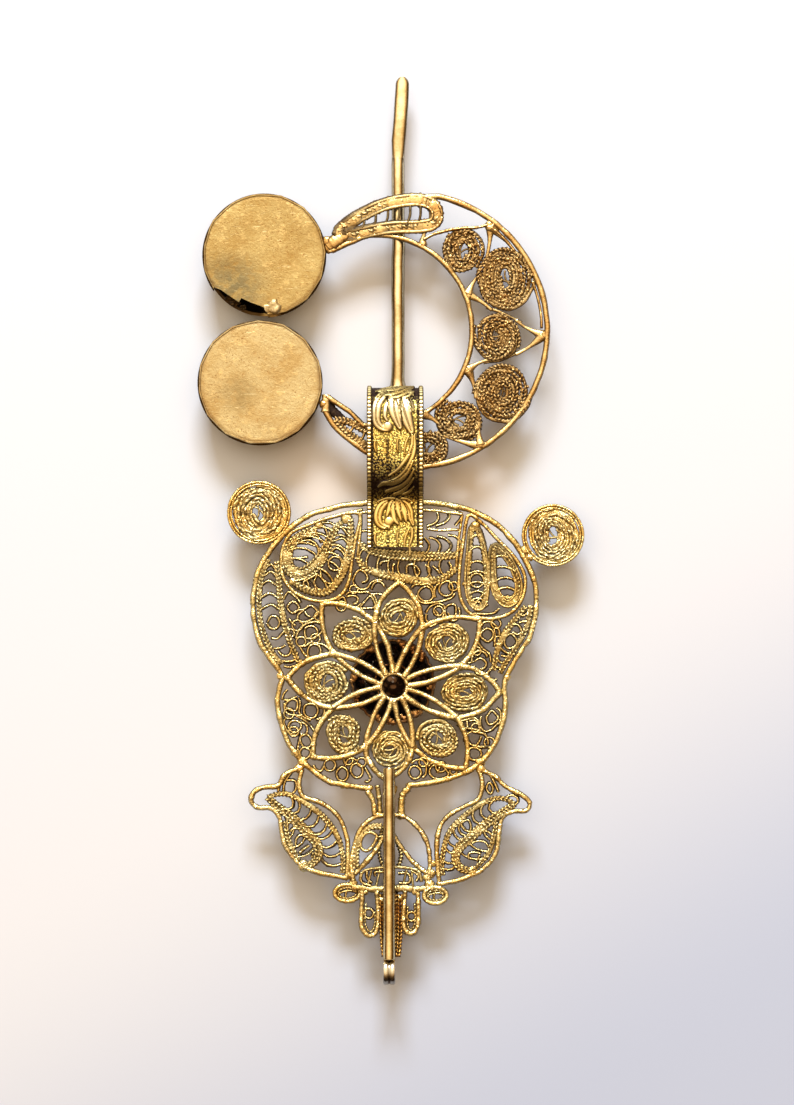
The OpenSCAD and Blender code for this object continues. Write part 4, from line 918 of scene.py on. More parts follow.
def wire_mesh(runs, form, ratio, z):
    """All wires of one section and height, as one closed mesh."""
    loop, groove_and_shade = section_loop(form)
    wire = empty_curve(loop)
    for line, widths, tilts, closed, worn in runs:
        flattened = np.column_stack([line[:, :2], (line[:, 2] - z) / ratio])
        add_line(wire, flattened, closed, radius=widths, tilt=tilts)
    wire = curve_to_mesh(wire, loop)
    rings = sum(len(run[0]) for run in runs)
    if len(wire.data.vertices) != rings * len(groove_and_shade):
        raise RuntimeError("a wire came out with the wrong number of rings")
    # The sides and the underside of each wire are painted dark as shade, as are the valleys between its
    # lobes and the wires laid dark
    co = points_of(wire).reshape(rings, len(groove_and_shade), 3)[:, :, 2]
    middle = np.concatenate([(line[:, 2] - z) / ratio for line, *rest in runs])[:, None]
    wide = np.concatenate([widths for line, widths, *rest in runs])[:, None]
    side = np.clip((0.93 - (co - middle) / (0.5 * wide)) / 0.5, 0, 1)
    dark = np.concatenate([np.full(len(run[0]), min(run[4], 0)) for run in runs])[:, None]
    mark(wire, "groove_and_shade", np.maximum(np.maximum(side, np.tile(groove_and_shade, (rings, 1)) * 0.85), -dark).ravel())
    worn = np.concatenate([np.full(len(run[0]), max(run[4], 0)) for run in runs])
    mark(wire, "worn", np.repeat(worn, len(groove_and_shade)))
    edit(close_ends, outward)
    bpy.ops.object.shade_smooth()
    return to_metres(wire, ratio, z)


class Wirework:
    """Wires and solder that are gathered and then turned into one piece."""

    def __init__(self, name, z, tall=1.0):
        self.name = name
        self.z = z
        self.tall = tall
        self.groups = {}
        self.lumps = []
        self.others = []
        self.rng = np.random.default_rng(sum(map(ord, name)))

    def lay(self, points, width, form="round", tall=None, z=None, closed=False, turn=1.1, sway=0.03,
            swell=(1, 1), worn=0.0, rough=0.06, wave=0.07):
        """One wire along a line, with the small unevenness of handwork."""
        # A positive worn brightens the wire as wear, a negative one paints it dark as shade
        tall = tall or self.tall
        z = self.z if z is None else z
        step = SECTIONS[form][2]
        line = spaced(points, step, closed)
        n = len(line)
        along = np.arange(n) * step
        if closed:
            half_turns = max(1, round(along[-1] / turn * 2))
            tilts = np.arange(n) / n * half_turns * math.pi
        else:
            tilts = along / abs(turn) * 2 * math.pi
        if turn < 0:
            tilts = -tilts
        if form in ("round", "fine"):
            tilts = tilts * 0
        knots = max(2, int(along[-1] / 1.3))
        drift = np.stack([np.interp(along, np.linspace(0, along[-1], knots), self.rng.normal(0, 1, knots))
                          for k in range(3)], 1)
        dents = self.rng.normal(0, 1, n)
        if closed or form == "cord":
            drift[:, :2] = 0
        flat = line.shape[1] == 2
        height = np.full(n, z + self.rng.uniform(-0.05, 0.05)) if flat else line[:, 2]
        line = np.column_stack([line[:, :2] + drift[:, :2] * sway, height + drift[:, 2] * wave])
        widths = width * (1 + 0.07 * drift[:, 2] * (0 if closed else 1) + rough * dents)
        widths = widths * np.interp(np.linspace(0, 1, n), np.linspace(0, 1, len(swell)), swell)
        key = (form, round(tall / width, 2), z)
        self.groups.setdefault(key, []).append((line, widths, tilts, closed, worn))

    def strand(self, points, width, closed=False, rows=2, turn=1.3, ends=(1, 1), base_shade=-0.4):
        """Twisted wires side by side on a plain one, which gives a plaited look."""
        line = spaced(points, 0.3, closed)
        t = np.linspace(0, 1, len(line))
        narrowed = np.interp(t, [0, 0.35, 0.65, 1], [ends[0], 1, 1, ends[1]])
        spread = np.ones(len(line)) if closed else narrowed
        one = width / rows
        for k in range(rows):
            gap = (k + 0.5) * one - width / 2
            self.lay(beside(line, (gap * spread)[:, None], closed), one * 1.35, "cord", self.tall * 0.7,
                     self.z + self.tall * (0.14 - 0.03 * (k % 2)), closed, turn if k % 2 else -turn,
                     rough=0.07, wave=0.07)
        # The plain wire under the twisted ones is painted dark as shade
        self.lay(line, width * 0.95, "round", self.tall * 0.7, self.z - self.tall * 0.02, closed, worn=base_shade,
                 swell=(1, 1) if closed else (ends[0], 1, 1, ends[1]))

    def ribbon(self, points, width, closed=False):
        """A flat wire on its edge: a bright crest on a wider foot, painted darker as shade."""
        self.lay(points, width * 0.66, "fine", self.tall * 0.6, self.z + self.tall * 0.14, closed,
                 sway=0.04)
        self.lay(points, width * 1.25, "fine", self.tall * 0.62, self.z - self.tall * 0.15, closed,
                 sway=0.04, worn=-0.9)

    def solder(self, table, z=None, tall=None):
        for x, y, r in table:
            self.lumps.append((x, y, r, self.z if z is None else z, tall or self.tall))

    def build(self):
        parts = [wire_mesh(runs, form, ratio, z) for (form, ratio, z), runs in self.groups.items()]
        if self.lumps:
            parts.append(solder_mesh(self.lumps, len(self.name)))
        ob = joined(parts + self.others, self.name)
        active(ob)
        return ob


def solder_mesh(lumps, seed):
    """Squashed, uneven blobs of solder."""
    deselect()
    for i, (x, y, r, z, tall) in enumerate(lumps):
        bpy.ops.mesh.primitive_ico_sphere_add(subdivisions=2, radius=r, location=(x, y, z),
                                              scale=(1, 1, tall / 2 / r))
        if i == 0:
            bpy.ops.object.mode_set(mode="EDIT")
    bpy.ops.mesh.select_all(action="SELECT")
    bpy.ops.transform.vertex_random(offset=0.1, uniform=0.5, normal=0.5, seed=seed)
    bpy.ops.object.mode_set(mode="OBJECT")
    ob = bpy.context.object
    bpy.ops.object.shade_smooth()
    settle()
    # The lower part of each lump is painted dark as shade
    co = points_of(ob)[:, 2]
    middle = sum(lump[3] for lump in lumps) / len(lumps)
    mark(ob, "groove_and_shade", np.clip((middle + 0.2 - co) / 0.35, 0, 1))
    return to_metres(ob)


def lathe(profile, centre, turn=(0, 0, 0), steps=96, closed=False):
    """A round shape spun from a profile of radius and height, in millimetres."""
    ob = empty_curve()
    add_line(ob, [(r, 0, h) for r, h in profile], closed)
    ob = curve_to_mesh(ob)
    edit(lambda: bpy.ops.mesh.spin(steps=steps, angle=2 * math.pi, center=(0, 0, 0), axis=(0, 0, 1)),
         merge, outward)
    ob.rotation_euler = turn
    ob.location = centre
    settle()
    shade(35)
    mark(ob, "groove_and_shade", np.zeros(len(ob.data.vertices)))
    return ob


# Materials

class Finish:
    """The nodes of a material or of the sky, with short ways to add them."""

    def __init__(self, owner, place="Object"):
        self.owner = owner
        owner.use_nodes = True
        self.nodes = owner.node_tree.nodes
        self.links = owner.node_tree.links
        self.place = self.nodes.new("ShaderNodeTexCoord").outputs[place]

    def link(self, value, socket):
        if isinstance(value, (int, float, tuple)):
            socket.default_value = value
        else:
            self.links.new(value, socket)

    def node(self, kind, output, inputs, **settings):
        """Adds a node, gives its inputs their values or links and returns one of its outputs."""
        node = self.nodes.new("ShaderNode" + kind)
        for name, value in settings.items():
            setattr(node, name, value)
        for name, value in inputs.items():
            self.link(value, node.inputs[name])
        return node.outputs[output]

    def noise(self, size, detail=3.0, rough=0.55, stretch=None, warp=0.0):
        """Noise whose blotches are about size millimetres across."""
        place = self.place
        if stretch:
            place = self.node("Mapping", "Vector", {"Scale": stretch, "Vector": place})
        return self.node("TexNoise", "Fac", {"Scale": 1000 / size, "Detail": detail, "Roughness": rough,
                                             "Distortion": warp, "Vector": place})

    def cells(self, size):
        return self.node("TexVoronoi", "Distance", {"Scale": 1000 / size, "Vector": self.place})

    def ramp(self, value, low, high, start=0.0, end=1.0):
        """Turns a value between low and high into one between start and end."""
        return self.node("MapRange", "Result", {"Value": value, "From Min": low, "From Max": high,
                                                "To Min": start, "To Max": end},
                         interpolation_type="SMOOTHSTEP")

    def times(self, a, b):
        return self.node("Math", 0, {0: a, 1: b}, operation="MULTIPLY")

    def add(self, a, b):
        """The sum of two values, at most 1."""
        return self.node("Math", 0, {0: a, 1: b}, operation="ADD", use_clamp=True)

    def larger(self, a, b):
        return self.node("Math", 0, {0: a, 1: b}, operation="MAXIMUM")

    def mix(self, factor, a, b):
        return self.node("Mix", 2, {0: factor, 6: a, 7: b}, data_type="RGBA")

    def marked(self, name="groove_and_shade"):
        """What the piece's points say under a name."""
        return self.node("Attribute", "Fac", {}, attribute_name=name)

    def along(self, way):
        """How far each place is along a direction, in metres."""
        return self.node("VectorMath", "Value", {0: self.place, 1: way}, operation="DOT_PRODUCT")

    def distance(self, centre):
        """How far each place is from a point on a disc's plate, in metres."""
        point = (centre[0] * MM, centre[1] * MM, disc_h * MM)
        return self.node("VectorMath", "Value", {0: self.place, 1: point}, operation="DISTANCE")

    def height(self):
        return self.node("SeparateXYZ", "Z", {0: self.place})

    def bump(self, value, depth, strength=1.0, under=None):
        inputs = {"Distance": depth * MM, "Strength": strength, "Height": value}
        if under is not None:
            inputs["Normal"] = under
        return self.node("Bump", "Normal", inputs)

    def set(self, **sockets):
        for name, value in sockets.items():
            self.link(value, self.nodes["Principled BSDF"].inputs[name.replace("_", " ")])
        return self.owner


def new_finish(name):
    return Finish(bpy.data.materials.new(name))


def rgb(*colour):
    """A colour picked on a screen, as the shader takes it."""
    return tuple(((c / 255 + 0.055) / 1.055) ** 2.4 if c > 10 else c / 255 / 12.92 for c in colour) + (1.0,)


def linear(colour):
    """A colour setting as the shader takes it."""
    return tuple(colour[:3]) + (1.0,)


def gilt_wire(name, bright, deep, patina_and_shade, top, grime=0.5, rough=0.13, matt=0.14, groove_shade=0.95):
    """Gilt wire: worn bright on its crests, brown in its grooves and low down, partly patina and partly
    painted shade.
    """
    f = new_finish(name)
    broad = f.ramp(f.noise(7, 3), 0.35, 0.65)
    speck = f.noise(0.8, 4, 0.65)
    grain = f.noise(0.34, 3, 0.6)
    gold = f.mix(broad, bright, deep)
    gold = f.mix(f.ramp(f.noise(3.1, 2), 0.62, 0.8, 0.0, 0.45), gold, rgb(226, 160, 78))
    gold = f.mix(f.times(f.marked("worn"), 0.7), gold, rgb(248, 232, 184))
    # Lower parts are painted darker, partly as patina and partly as shade
    depth = f.ramp(f.height(), (top - 0.8) * MM, (top - 0.25) * MM, 1.0, 0.0)
    dirt_and_shade = f.add(f.times(depth, 0.5), f.times(f.marked(), groove_shade))
    dirt_and_shade = f.add(dirt_and_shade, f.ramp(speck, 0.7 - 0.1 * grime, 0.9, 0.0, 0.8))
    dirt_and_shade = f.add(dirt_and_shade, f.ramp(grain, 0.4, 0.28, 0.0, 0.4))
    return f.set(
        Base_Color=f.mix(dirt_and_shade, gold, patina_and_shade),
        Metallic=f.ramp(dirt_and_shade, 0.6, 1.0, 1.0, 0.5),
        Roughness=f.add(f.ramp(speck, 0.3, 0.7, matt, matt + 0.14), f.times(dirt_and_shade, 0.4)),
        Normal=f.bump(grain, rough * 1.3, 0.8, f.bump(speck, rough * 2.5, 0.5))
    )


def gilt_sheet(name, bright, deep, tarnish, centre, tarnish_at):
    """Matt gilt sheet, mottled and grainy, with a few scratches and a tarnished side."""
    f = new_finish(name)
    broad = f.ramp(f.noise(6, 4, 0.6), 0.35, 0.68)
    cloud = f.noise(1.6, 5, 0.7)
    fine = f.noise(0.4, 4, 0.7)
    gold = f.mix(broad, bright, deep)
    gold = f.mix(f.ramp(cloud, 0.5, 0.72, 0.0, 0.45), gold, rgb(250, 220, 152))
    gold = f.mix(f.ramp(fine, 0.46, 0.34, 0.0, 0.4), gold, rgb(162, 118, 64))
    pits = f.times(f.ramp(f.noise(0.25, 2), 0.6, 0.7), f.ramp(f.noise(5, 2), 0.42, 0.6))
    gold = f.mix(pits, gold, rgb(140, 100, 52))
    gold = f.mix(f.ramp(fine, 0.6, 0.72, 0.0, 0.3), gold, rgb(255, 236, 180))
    near = f.ramp(f.distance(tarnish_at), 0.001, tarnish_at[2] * MM, 1.0, 0.0)
    near = f.times(near, f.ramp(cloud, 0.35, 0.6, 0.25, 0.85))
    gold = f.mix(near, gold, tarnish)
    hair = f.noise(1.2, 1, 0.4, (0.2, 1.6, 1), 3)
    scratch = f.ramp(hair, 0.72, 0.73)
    gold = f.mix(f.times(scratch, 0.3), gold, rgb(255, 240, 190))
    edge = f.ramp(f.distance(centre), 0.0092, 0.0099, 0.0, 0.4)
    edge = f.times(edge, f.ramp(cloud, 0.35, 0.6))
    gold = f.mix(edge, gold, rgb(120, 78, 34))
    gold = f.mix(f.marked("worn"), gold, rgb(255, 244, 206))
    # The wall and dome below the plate, and the crease inside its rim, are painted dark as shade
    gold = f.mix(f.times(f.marked(), 0.9), gold, rgb(52, 32, 12))
    return f.set(
        Base_Color=gold,
        Metallic=f.ramp(near, 0, 1, 1.0, 0.75),
        Roughness=f.add(f.ramp(cloud, 0.3, 0.7, 0.36, 0.52), f.times(near, 0.12)),
        Normal=f.bump(fine, 0.06, 0.8, f.bump(cloud, 0.14, 0.5, f.bump(scratch, -0.02, 0.6)))
    )


def embossed_gilt(name, bright, deep, patina_and_shade):
    """The strap's gilding: polished on the relief, yellow and granulated between, with painted shade in the
    relief's hollows and where the strap is marked shaded.
    """
    f = new_finish(name)
    broad = f.ramp(f.noise(8, 3), 0.35, 0.65)
    speck = f.noise(0.6, 4, 0.6)
    low = f.marked()
    pit = f.ramp(f.cells(0.34), 0.36, 0.7)
    ground = f.ramp(low, 0.5, 0.9)
    gold = f.mix(ground, f.mix(broad, bright, deep), f.mix(broad, rgb(255, 240, 146), rgb(255, 222, 122)))
    gold = f.mix(f.marked("worn"), gold, rgb(226, 216, 184))
    dirt_and_shade = f.times(ground, f.times(pit, 0.7))
    # The relief's hollows are painted dark as shade
    crease = f.ramp(low, 0.12, 0.5, 0.0, 1.0)
    dirt_and_shade = f.larger(dirt_and_shade, f.times(crease, f.ramp(ground, 0, 1, 1.0, 0.1)))
    dirt_and_shade = f.add(dirt_and_shade, f.marked("shade"))
    dirt_and_shade = f.larger(dirt_and_shade, f.ramp(speck, 0.62, 0.8, 0.0, 0.6))
    return f.set(
        Base_Color=f.mix(dirt_and_shade, gold, patina_and_shade),
        Metallic=f.ramp(dirt_and_shade, 0.6, 1.0, 1.0, 0.6),
        Roughness=f.add(f.ramp(speck, 0.3, 0.7, 0.26, 0.4), f.times(dirt_and_shade, 0.3)),
        Normal=f.bump(f.times(pit, ground), -0.08, 0.9, f.bump(speck, 0.05, 0.5))
    )


def drawn_metal(name, bright, dull, shine=0.2):
    """Worn drawn wire: a clean crest, sides painted brown as shade, soft streaks along it."""
    f = new_finish(name)
    lines = f.noise(0.8, 3, 0.6, (2, 0.07, 2))
    cloud = f.noise(4, 4, 0.6)
    fine = f.noise(0.25, 2)
    metal = f.mix(f.ramp(cloud, 0.35, 0.68), bright, dull)
    dirt_and_shade = f.add(f.times(f.marked(), 0.85), f.ramp(lines, 0.55, 0.75, 0.0, 0.25))
    dirt_and_shade = f.add(dirt_and_shade, f.ramp(fine, 0.62, 0.8, 0.0, 0.4))
    return f.set(
        Base_Color=f.mix(dirt_and_shade, metal, rgb(52, 30, 10)),
        Metallic=1.0,
        Roughness=f.ramp(cloud, 0.3, 0.7, shine - 0.06, shine + 0.06),
        Normal=f.bump(fine, 0.015, 0.5, f.bump(lines, 0.02, 0.5, f.bump(cloud, 0.12, 0.4)))
    )


def cut_glass(name, colour, facet_highlight):
    """A dark cut stone with dust on it and facets that show as a star, each with a painted highlight at its
    middle.
    """
    f = new_finish(name)
    dust = f.ramp(f.noise(0.9, 4, 0.6), 0.5, 0.75, 0.0, 0.4)
    facet = f.ramp(f.cells(1.3), 0.25, 0.5)
    return f.set(
        Base_Color=f.mix(dust, f.mix(facet, facet_highlight, colour), rgb(134, 108, 76)),
        Roughness=f.ramp(f.noise(0.5, 3), 0.3, 0.8, 0.05, 0.25),
        IOR=1.6,
        Coat_Weight=0.5,
        Coat_Roughness=0.05,
        Normal=f.bump(facet, 0.12, 0.8, f.bump(f.noise(0.4, 2), 0.02, 0.4))
    )


# The strap

def strap_path():
    """Distances along Y and heights of the band's middle, as on the solid."""
    tab_z = plaque_top + GAP + strap_t / 2
    fold = strap_top / 2 - strap_t / 2
    under_z = plaque_z - GAP - strap_t / 2
    return np.vstack([
        [[-2.8, tab_z], [4.4, tab_z]],
        arc([4.4, tab_z + 2], 2, -80, -50, 3),
        arc([11.4, strap_top - strap_t / 2 - 5], 5, 130, 90, 6),
        arc([18.7, strap_t / 2 + fold], fold, 90, -90, 20),
        arc([9.5, strap_t / 2 + 3], 3, -90, -140, 5),
        arc([3.86, under_z - 2.66], 2.66, 40, 90, 5),
        [[-1.54, under_z]]
    ])


def relief_height(x, v):
    """How far the strap's relief stands up at each place, from 0 to 1."""
    high = np.zeros_like(x)
    for turn in range(4):
        shift = turn * relief_period
        for line, half in (relief_palmette if turn == 0 else relief_crest) + relief_stems:
            p = smooth(line, n=4)
            p[:, 1] += shift
            low = p.min(0) - half
            top = p.max(0) + half
            near = np.nonzero((x > low[0]) & (x < top[0]) & (v > low[1]) & (v < top[1]))[0]
            if not len(near):
                continue
            q = np.stack([x[near], v[near]], 1)
            close = np.full(len(near), 9.0)
            for i in range(len(p) - 1):
                t = (i + 0.5) / (len(p) - 1)
                wide = half * (0.4 + 0.6 * math.sin(math.pi * t ** 0.75))
                ab = p[i + 1] - p[i]
                k = np.clip(((q - p[i]) @ ab) / (ab @ ab), 0, 1)
                close = np.minimum(close, np.linalg.norm(q - p[i] - k[:, None] * ab, axis=1) / wide)
            # Each leaf has a line round it, and the broad ones have a vein
            vein = 0.5 * np.exp(-(close / 0.1) ** 2) * (half > 0.65)
            rise = np.sqrt(np.clip(1 - close ** 3, 0, 1)) * (1 - vein)
            under = high[near] * np.where(close < 1, close > 0.85, np.where(close < 1.18, 0.3, 1))
            high[near] = np.maximum(rise, under)
        balls = [(a, b + shift, r, 1.15) for a, b, r in (relief_balls if turn == 0 else crest_balls)]
        for a, start, end, gap, r in relief_beads:
            balls += [(a, b + shift, r, 0.6) for b in np.arange(start, end, gap)]
        for a, b, r, tall in balls:
            d = np.hypot(x - a, v - b) / r
            high = np.maximum(high, tall * np.sqrt(np.clip(1 - d * d, 0, 1)))
    for middle in milled_edges:
        bar = np.abs((v + 0.15 * np.sin(1.3 * v)) / milled_step % 1 - 0.5) * milled_step / 0.3
        width = np.sqrt(np.clip(1 - np.abs((x - middle) / 0.38) ** 6, 0, 1))
        high = np.maximum(high, np.sqrt(np.clip(1 - bar ** 4, 0.3, 1)) * width)
    return high


def strap_mesh(relief):
    """The strap as one band: a fine grid bent round its path, raised by its relief."""
    path = strap_path()
    along = np.concatenate([[0], np.cumsum(np.linalg.norm(np.diff(path, axis=0), axis=1))])
    turn_over = along[np.argmax(path[:, 0])]
    fine = np.arange(0, turn_over + 2, 0.12)
    marks = np.concatenate([fine, np.arange(turn_over + 2, along[-1], 0.3), [along[-1]]])
    line = np.stack([np.interp(marks, along, path[:, k]) for k in range(2)], 1)
    t = np.gradient(line, axis=0)
    for k in range(4):
        t[1:-1] = (t[:-2] + 2 * t[1:-1] + t[2:]) / 4
    t /= np.linalg.norm(t, axis=1)[:, None]
    up = np.stack([-t[:, 1], t[:, 0]], 1)
    # The pattern runs with Y up to the fold, and with the strap's length after it
    start = int(np.argmax(marks >= turn_over - 6))
    v = np.append(line[:start, 0], line[start, 0] + marks[start:] - marks[start])
    half = strap_w / 2
    outer = np.linspace(-half + 0.05, half - 0.05, face_points)
    inner = np.linspace(half - 0.05, -half + 0.05, 5)
    x = np.concatenate([outer, [half, half], inner, [-half, -half]]) + strap_x
    thick = strap_t / 2
    side = np.concatenate([np.full(face_points, thick), [0.25, -0.25], np.full(5, -thick),
                           [-0.25, 0.25]])
    rows, cols = len(marks), len(x)
    on_face = np.arange(cols) < face_points
    grid_x, grid_v = np.meshgrid(x, v)
    high = relief_height(grid_x.ravel(), grid_v.ravel()).reshape(rows, cols) * on_face
    rng = np.random.default_rng(5)
    dents = np.zeros((rows, cols))
    for k in range(strap_dents):
        a, b, r = rng.uniform(-4, 5.4), rng.uniform(-3, 60), rng.uniform(0.3, 1.2)
        dents -= 0.05 * np.exp(-((grid_x - a) ** 2 + (grid_v - b) ** 2) / r ** 2)
    lift = side + high * relief + dents * on_face
    y = line[:, :1] + up[:, :1] * lift
    z = np.maximum(line[:, 1:] + up[:, 1:] * lift, 0.01)
    deselect()
    bpy.ops.mesh.primitive_grid_add(x_subdivisions=cols, y_subdivisions=rows - 1, size=2)
    ob = bpy.context.object
    # The grid has one column more than the section, which closes it into a band
    wrap = np.append(np.arange(cols), 0)
    set_points(ob, np.stack([grid_x[:, wrap], y[:, wrap], z[:, wrap]], 2).reshape(-1, 3))
    # The edges and the leaves on the bend are rubbed to silver
    out = np.abs(grid_x - strap_x)
    on_edge = out > rubbed_out
    bend = np.clip((grid_v - bend_from) / 2, 0, 1) * np.clip((bend_to - grid_v) / 1.6, 0, 1)
    worn = np.maximum(on_edge * (high > 0.3) * 0.25, 0.8 * bend * (high > 0.3))
    # Painted shade: a dark line inside the edges, the band's inside and sides, the rise that faces away
    # from the light and above it, the fold, and the gaps between the milled bars
    shaded = np.clip(1.3 - np.abs(out - dark_line_out) / 0.16, 0, 1) * 0.95 + ~on_face * 0.6
    slope = np.clip(1 - np.abs(grid_v - rise_at) / 2.6, 0, 1) ** 0.5
    above = 0.55 * np.clip(1 - np.abs(grid_v - above_rise_at + 0.25 * grid_x) / 2.4, 0, 1)
    slope = np.maximum(slope, above)
    fold = np.clip((grid_v - fold_from) / 1.6, 0, 1)
    for other in (slope * np.where(high < 0.4, 1.0, 0.72), fold * np.where(high < 0.3, 0.95, 0.62),
                  on_edge * (high < 0.75) * 0.7):
        shaded = np.maximum(shaded, other)
    for name, values in (("groove_and_shade", 1 - np.clip(high * 1.15, 0, 1)), ("worn", worn * (1 - 0.8 * slope)),
                         ("shade", np.clip(shaded, 0, 1))):
        mark(ob, name, values[:, wrap].ravel())
    edit(merge, close_ends, outward)
    shade(60)
    return to_metres(ob)


# The discs

def dome(r, low, top, step):
    """The profile of a dome that looks down, from its middle out to its rim."""
    turns = [math.radians(a) for a in range(0, 91, step)]
    return [(r * math.sin(a), low + (top - low) * (1 - math.cos(a))) for a in turns]


def disc_mesh(name, centre, r, seed, torn):
    """A hollow disc: a warped, hand-cut back plate on a wall and a dome that looks down."""
    rise = disc_h - 2
    plate = [(r + out, disc_h + up) for out, up in plate_edge]
    plate += [(q * (r - 1.1), disc_h) for q in np.linspace(1, 0, 22)]
    outer = lathe(dome(r - 0.25, 0, rise, 9) + plate, (0, 0, 0), steps=160)
    inner = lathe(dome(r - 0.7, 0.45, rise, 15) + [(r - 0.7, disc_h - 0.7), (0, disc_h - 0.7)], (0, 0, 0))
    active(inner)
    edit(inward)
    ob = joined([outer, inner], name)
    co = points_of(ob)
    a = np.arctan2(co[:, 1], co[:, 0])
    rad = np.hypot(co[:, 0], co[:, 1])
    rng = np.random.default_rng(seed)
    cut = np.interp(a, np.linspace(-math.pi, math.pi, 27), np.append(rng.normal(0, 0.07, 26), 0))
    side = 2 * math.pi / plate_cuts
    cut = cut + r * (math.cos(side / 2.4) / np.cos((a + 0.04 * seed) % side - side / 2) - 1)
    edge = np.clip((rad - r + 1.2) / 1.2, 0, 1) * (co[:, 2] > disc_h - 0.45)
    # The plate sits a little off its wall, which shows at the lower left
    co[:, 0] += (np.cos(a) * cut + 0.06) * edge
    co[:, 1] += (np.sin(a) * cut + 0.12) * edge
    warp = np.zeros(len(co))
    for k in range(plate_dents):
        x, y, w = rng.uniform(-r, r), rng.uniform(-r, r), rng.uniform(1.2, 3.5)
        warp += rng.normal(0, 0.035) * np.exp(-((co[:, 0] - x) ** 2 + (co[:, 1] - y) ** 2) / w ** 2)
    co[:, 2] += np.where(co[:, 2] > disc_h - 1, warp, warp * 0.2 * (co[:, 2] > 1))
    set_points(ob, co + [centre[0], centre[1], 0])
    if torn:
        ob = torn_disc(ob, name)
    x, y, z = points_of(ob).T
    rad = np.hypot(x - centre[0], y - centre[1])
    lump = torn & (np.hypot(x - tear_lump[0], y - tear_lump[1]) < 1.7)
    mark(ob, "worn", (lump & (z > disc_h + 0.08)) * 0.35)
    # The wall and dome below the plate are painted dark as shade, and the crease inside its rim half as
    # dark
    wall = np.clip((disc_h - 0.12 - z) / 0.15, 0, 1) * ~lump
    seam = np.clip(1 - np.abs(rad - r + 0.49) / 0.09, 0, 1) * (z > disc_h - 0.3) * 0.5
    mark(ob, "groove_and_shade", np.maximum(wall, seam))
    active(ob)
    shade(40)
    return to_metres(ob)


def prism(outline, low, high):
    """A block with an outline, to cut with."""
    ob = empty_curve()
    add_line(ob, [(x, y, low) for x, y in outline], True)
    ob = curve_to_mesh(ob)
    edit(bpy.ops.mesh.edge_face_add,
         lambda: bpy.ops.mesh.extrude_region_move(TRANSFORM_OT_translate={"value": (0, 0, high - low)}),
         outward)
    return ob


def torn_disc(ob, name):
    """Cuts the tear out of a disc, and lays crumpled foil and a lump of solder in it."""
    cutter = prism(tear, disc_h - tear_depth, disc_h + 3)
    active(ob)
    cut = ob.modifiers.new("tear", "BOOLEAN")
    cut.operation = "DIFFERENCE"
    cut.solver = "EXACT"
    cut.object = cutter
    bpy.ops.object.modifier_apply(modifier=cut.name)
    bpy.data.objects.remove(cutter)
    parts = [ob]
    for x, y, w, h, turn in foil_table:
        deselect()
        bpy.ops.mesh.primitive_grid_add(x_subdivisions=7, y_subdivisions=6, size=1,
                                        location=(x, y, disc_h - 0.75))
        foil = bpy.context.object
        foil.scale = (w, h, 1)
        foil.rotation_euler = (0.5, 0.3, math.radians(turn))
        settle()
        edit(lambda: bpy.ops.transform.vertex_random(offset=0.22, seed=int(abs(x) * 7)))
        thick = foil.modifiers.new("thick", "SOLIDIFY")
        thick.thickness = 0.12
        bpy.ops.object.modifier_apply(modifier=thick.name)
        parts.append(foil)
    deselect()
    x, y, r = tear_lump
    bpy.ops.mesh.primitive_ico_sphere_add(subdivisions=2, radius=r, location=(x, y, disc_h - 0.3),
                                          scale=(1.15, 1, 0.55))
    parts.append(bpy.context.object)
    settle()
    edit(lambda: bpy.ops.transform.vertex_random(offset=0.3, uniform=0.4, normal=0.4, seed=3),
         lambda: bpy.ops.mesh.subdivide(smoothness=1.0))
    return joined(parts, name)


# Pieces

def pin_mesh(diameter):
    """The drawn pin, with its solder foot and its hammered tip."""
    y = np.concatenate([np.arange(pin_foot_y, pin_flat_y - 2, 0.4),
                        np.arange(pin_flat_y - 2, pin_tip_y - 0.05, 0.25), [pin_tip_y - 0.1]])
    left, right = np.array(pin_flat_left), np.array(pin_flat_right[::-1])
    low = np.interp(y, left[:, 1], left[:, 0])
    top = np.interp(y, right[:, 1], right[:, 0])
    flat = np.clip((y - pin_flat_y + 2.5) / 3, 0, 1)
    flat = flat * flat * (3 - 2 * flat)
    middle = pin_x * (1 - flat) + (low + top) / 2 * flat
    wide = diameter * (1 - flat) + (top - low) * flat
    wide = wide + 1.5 * np.clip((26 - y) / 3.4, 0, 1) ** 2
    rounding = np.clip((pin_tip_y - y) / 1.3, 0, 1)
    wide = wide * np.sqrt(1 - (1 - rounding) ** 2 * 0.97)
    rng = np.random.default_rng(3)
    wobble = np.interp(y, np.linspace(22, 76, 20), rng.normal(0, 0.03, 20))
    section = section_circle()
    section.data.resolution_u = 6
    ob = empty_curve(section)
    add_line(ob, np.column_stack([middle + wobble, y, np.full(len(y), pin_z)]), radius=wide)
    ob = curve_to_mesh(ob, section)
    co = points_of(ob)
    rings = len(co) // len(y)
    thin = np.repeat((pin_flat_t / np.maximum(wide, 0.3)) * flat + (1 - flat), rings)
    co[:, 2] = pin_z + (co[:, 2] - pin_z) * thin
    set_points(ob, co)
    # The pin's sides and underside are painted dark as shade
    half = np.repeat(0.5 * np.where(flat > 0.5, pin_flat_t, wide), rings)
    mark(ob, "groove_and_shade", np.clip((0.78 - (co[:, 2] - pin_z) / half) / 0.4, 0, 1))
    edit(close_ends, outward)
    shade(50)
    solder = [(x, y, r, pin_z, 2.2) for x, y, r in pin_lumps]
    return joined([to_metres(ob), solder_mesh(solder, 4)], "pin_wire")


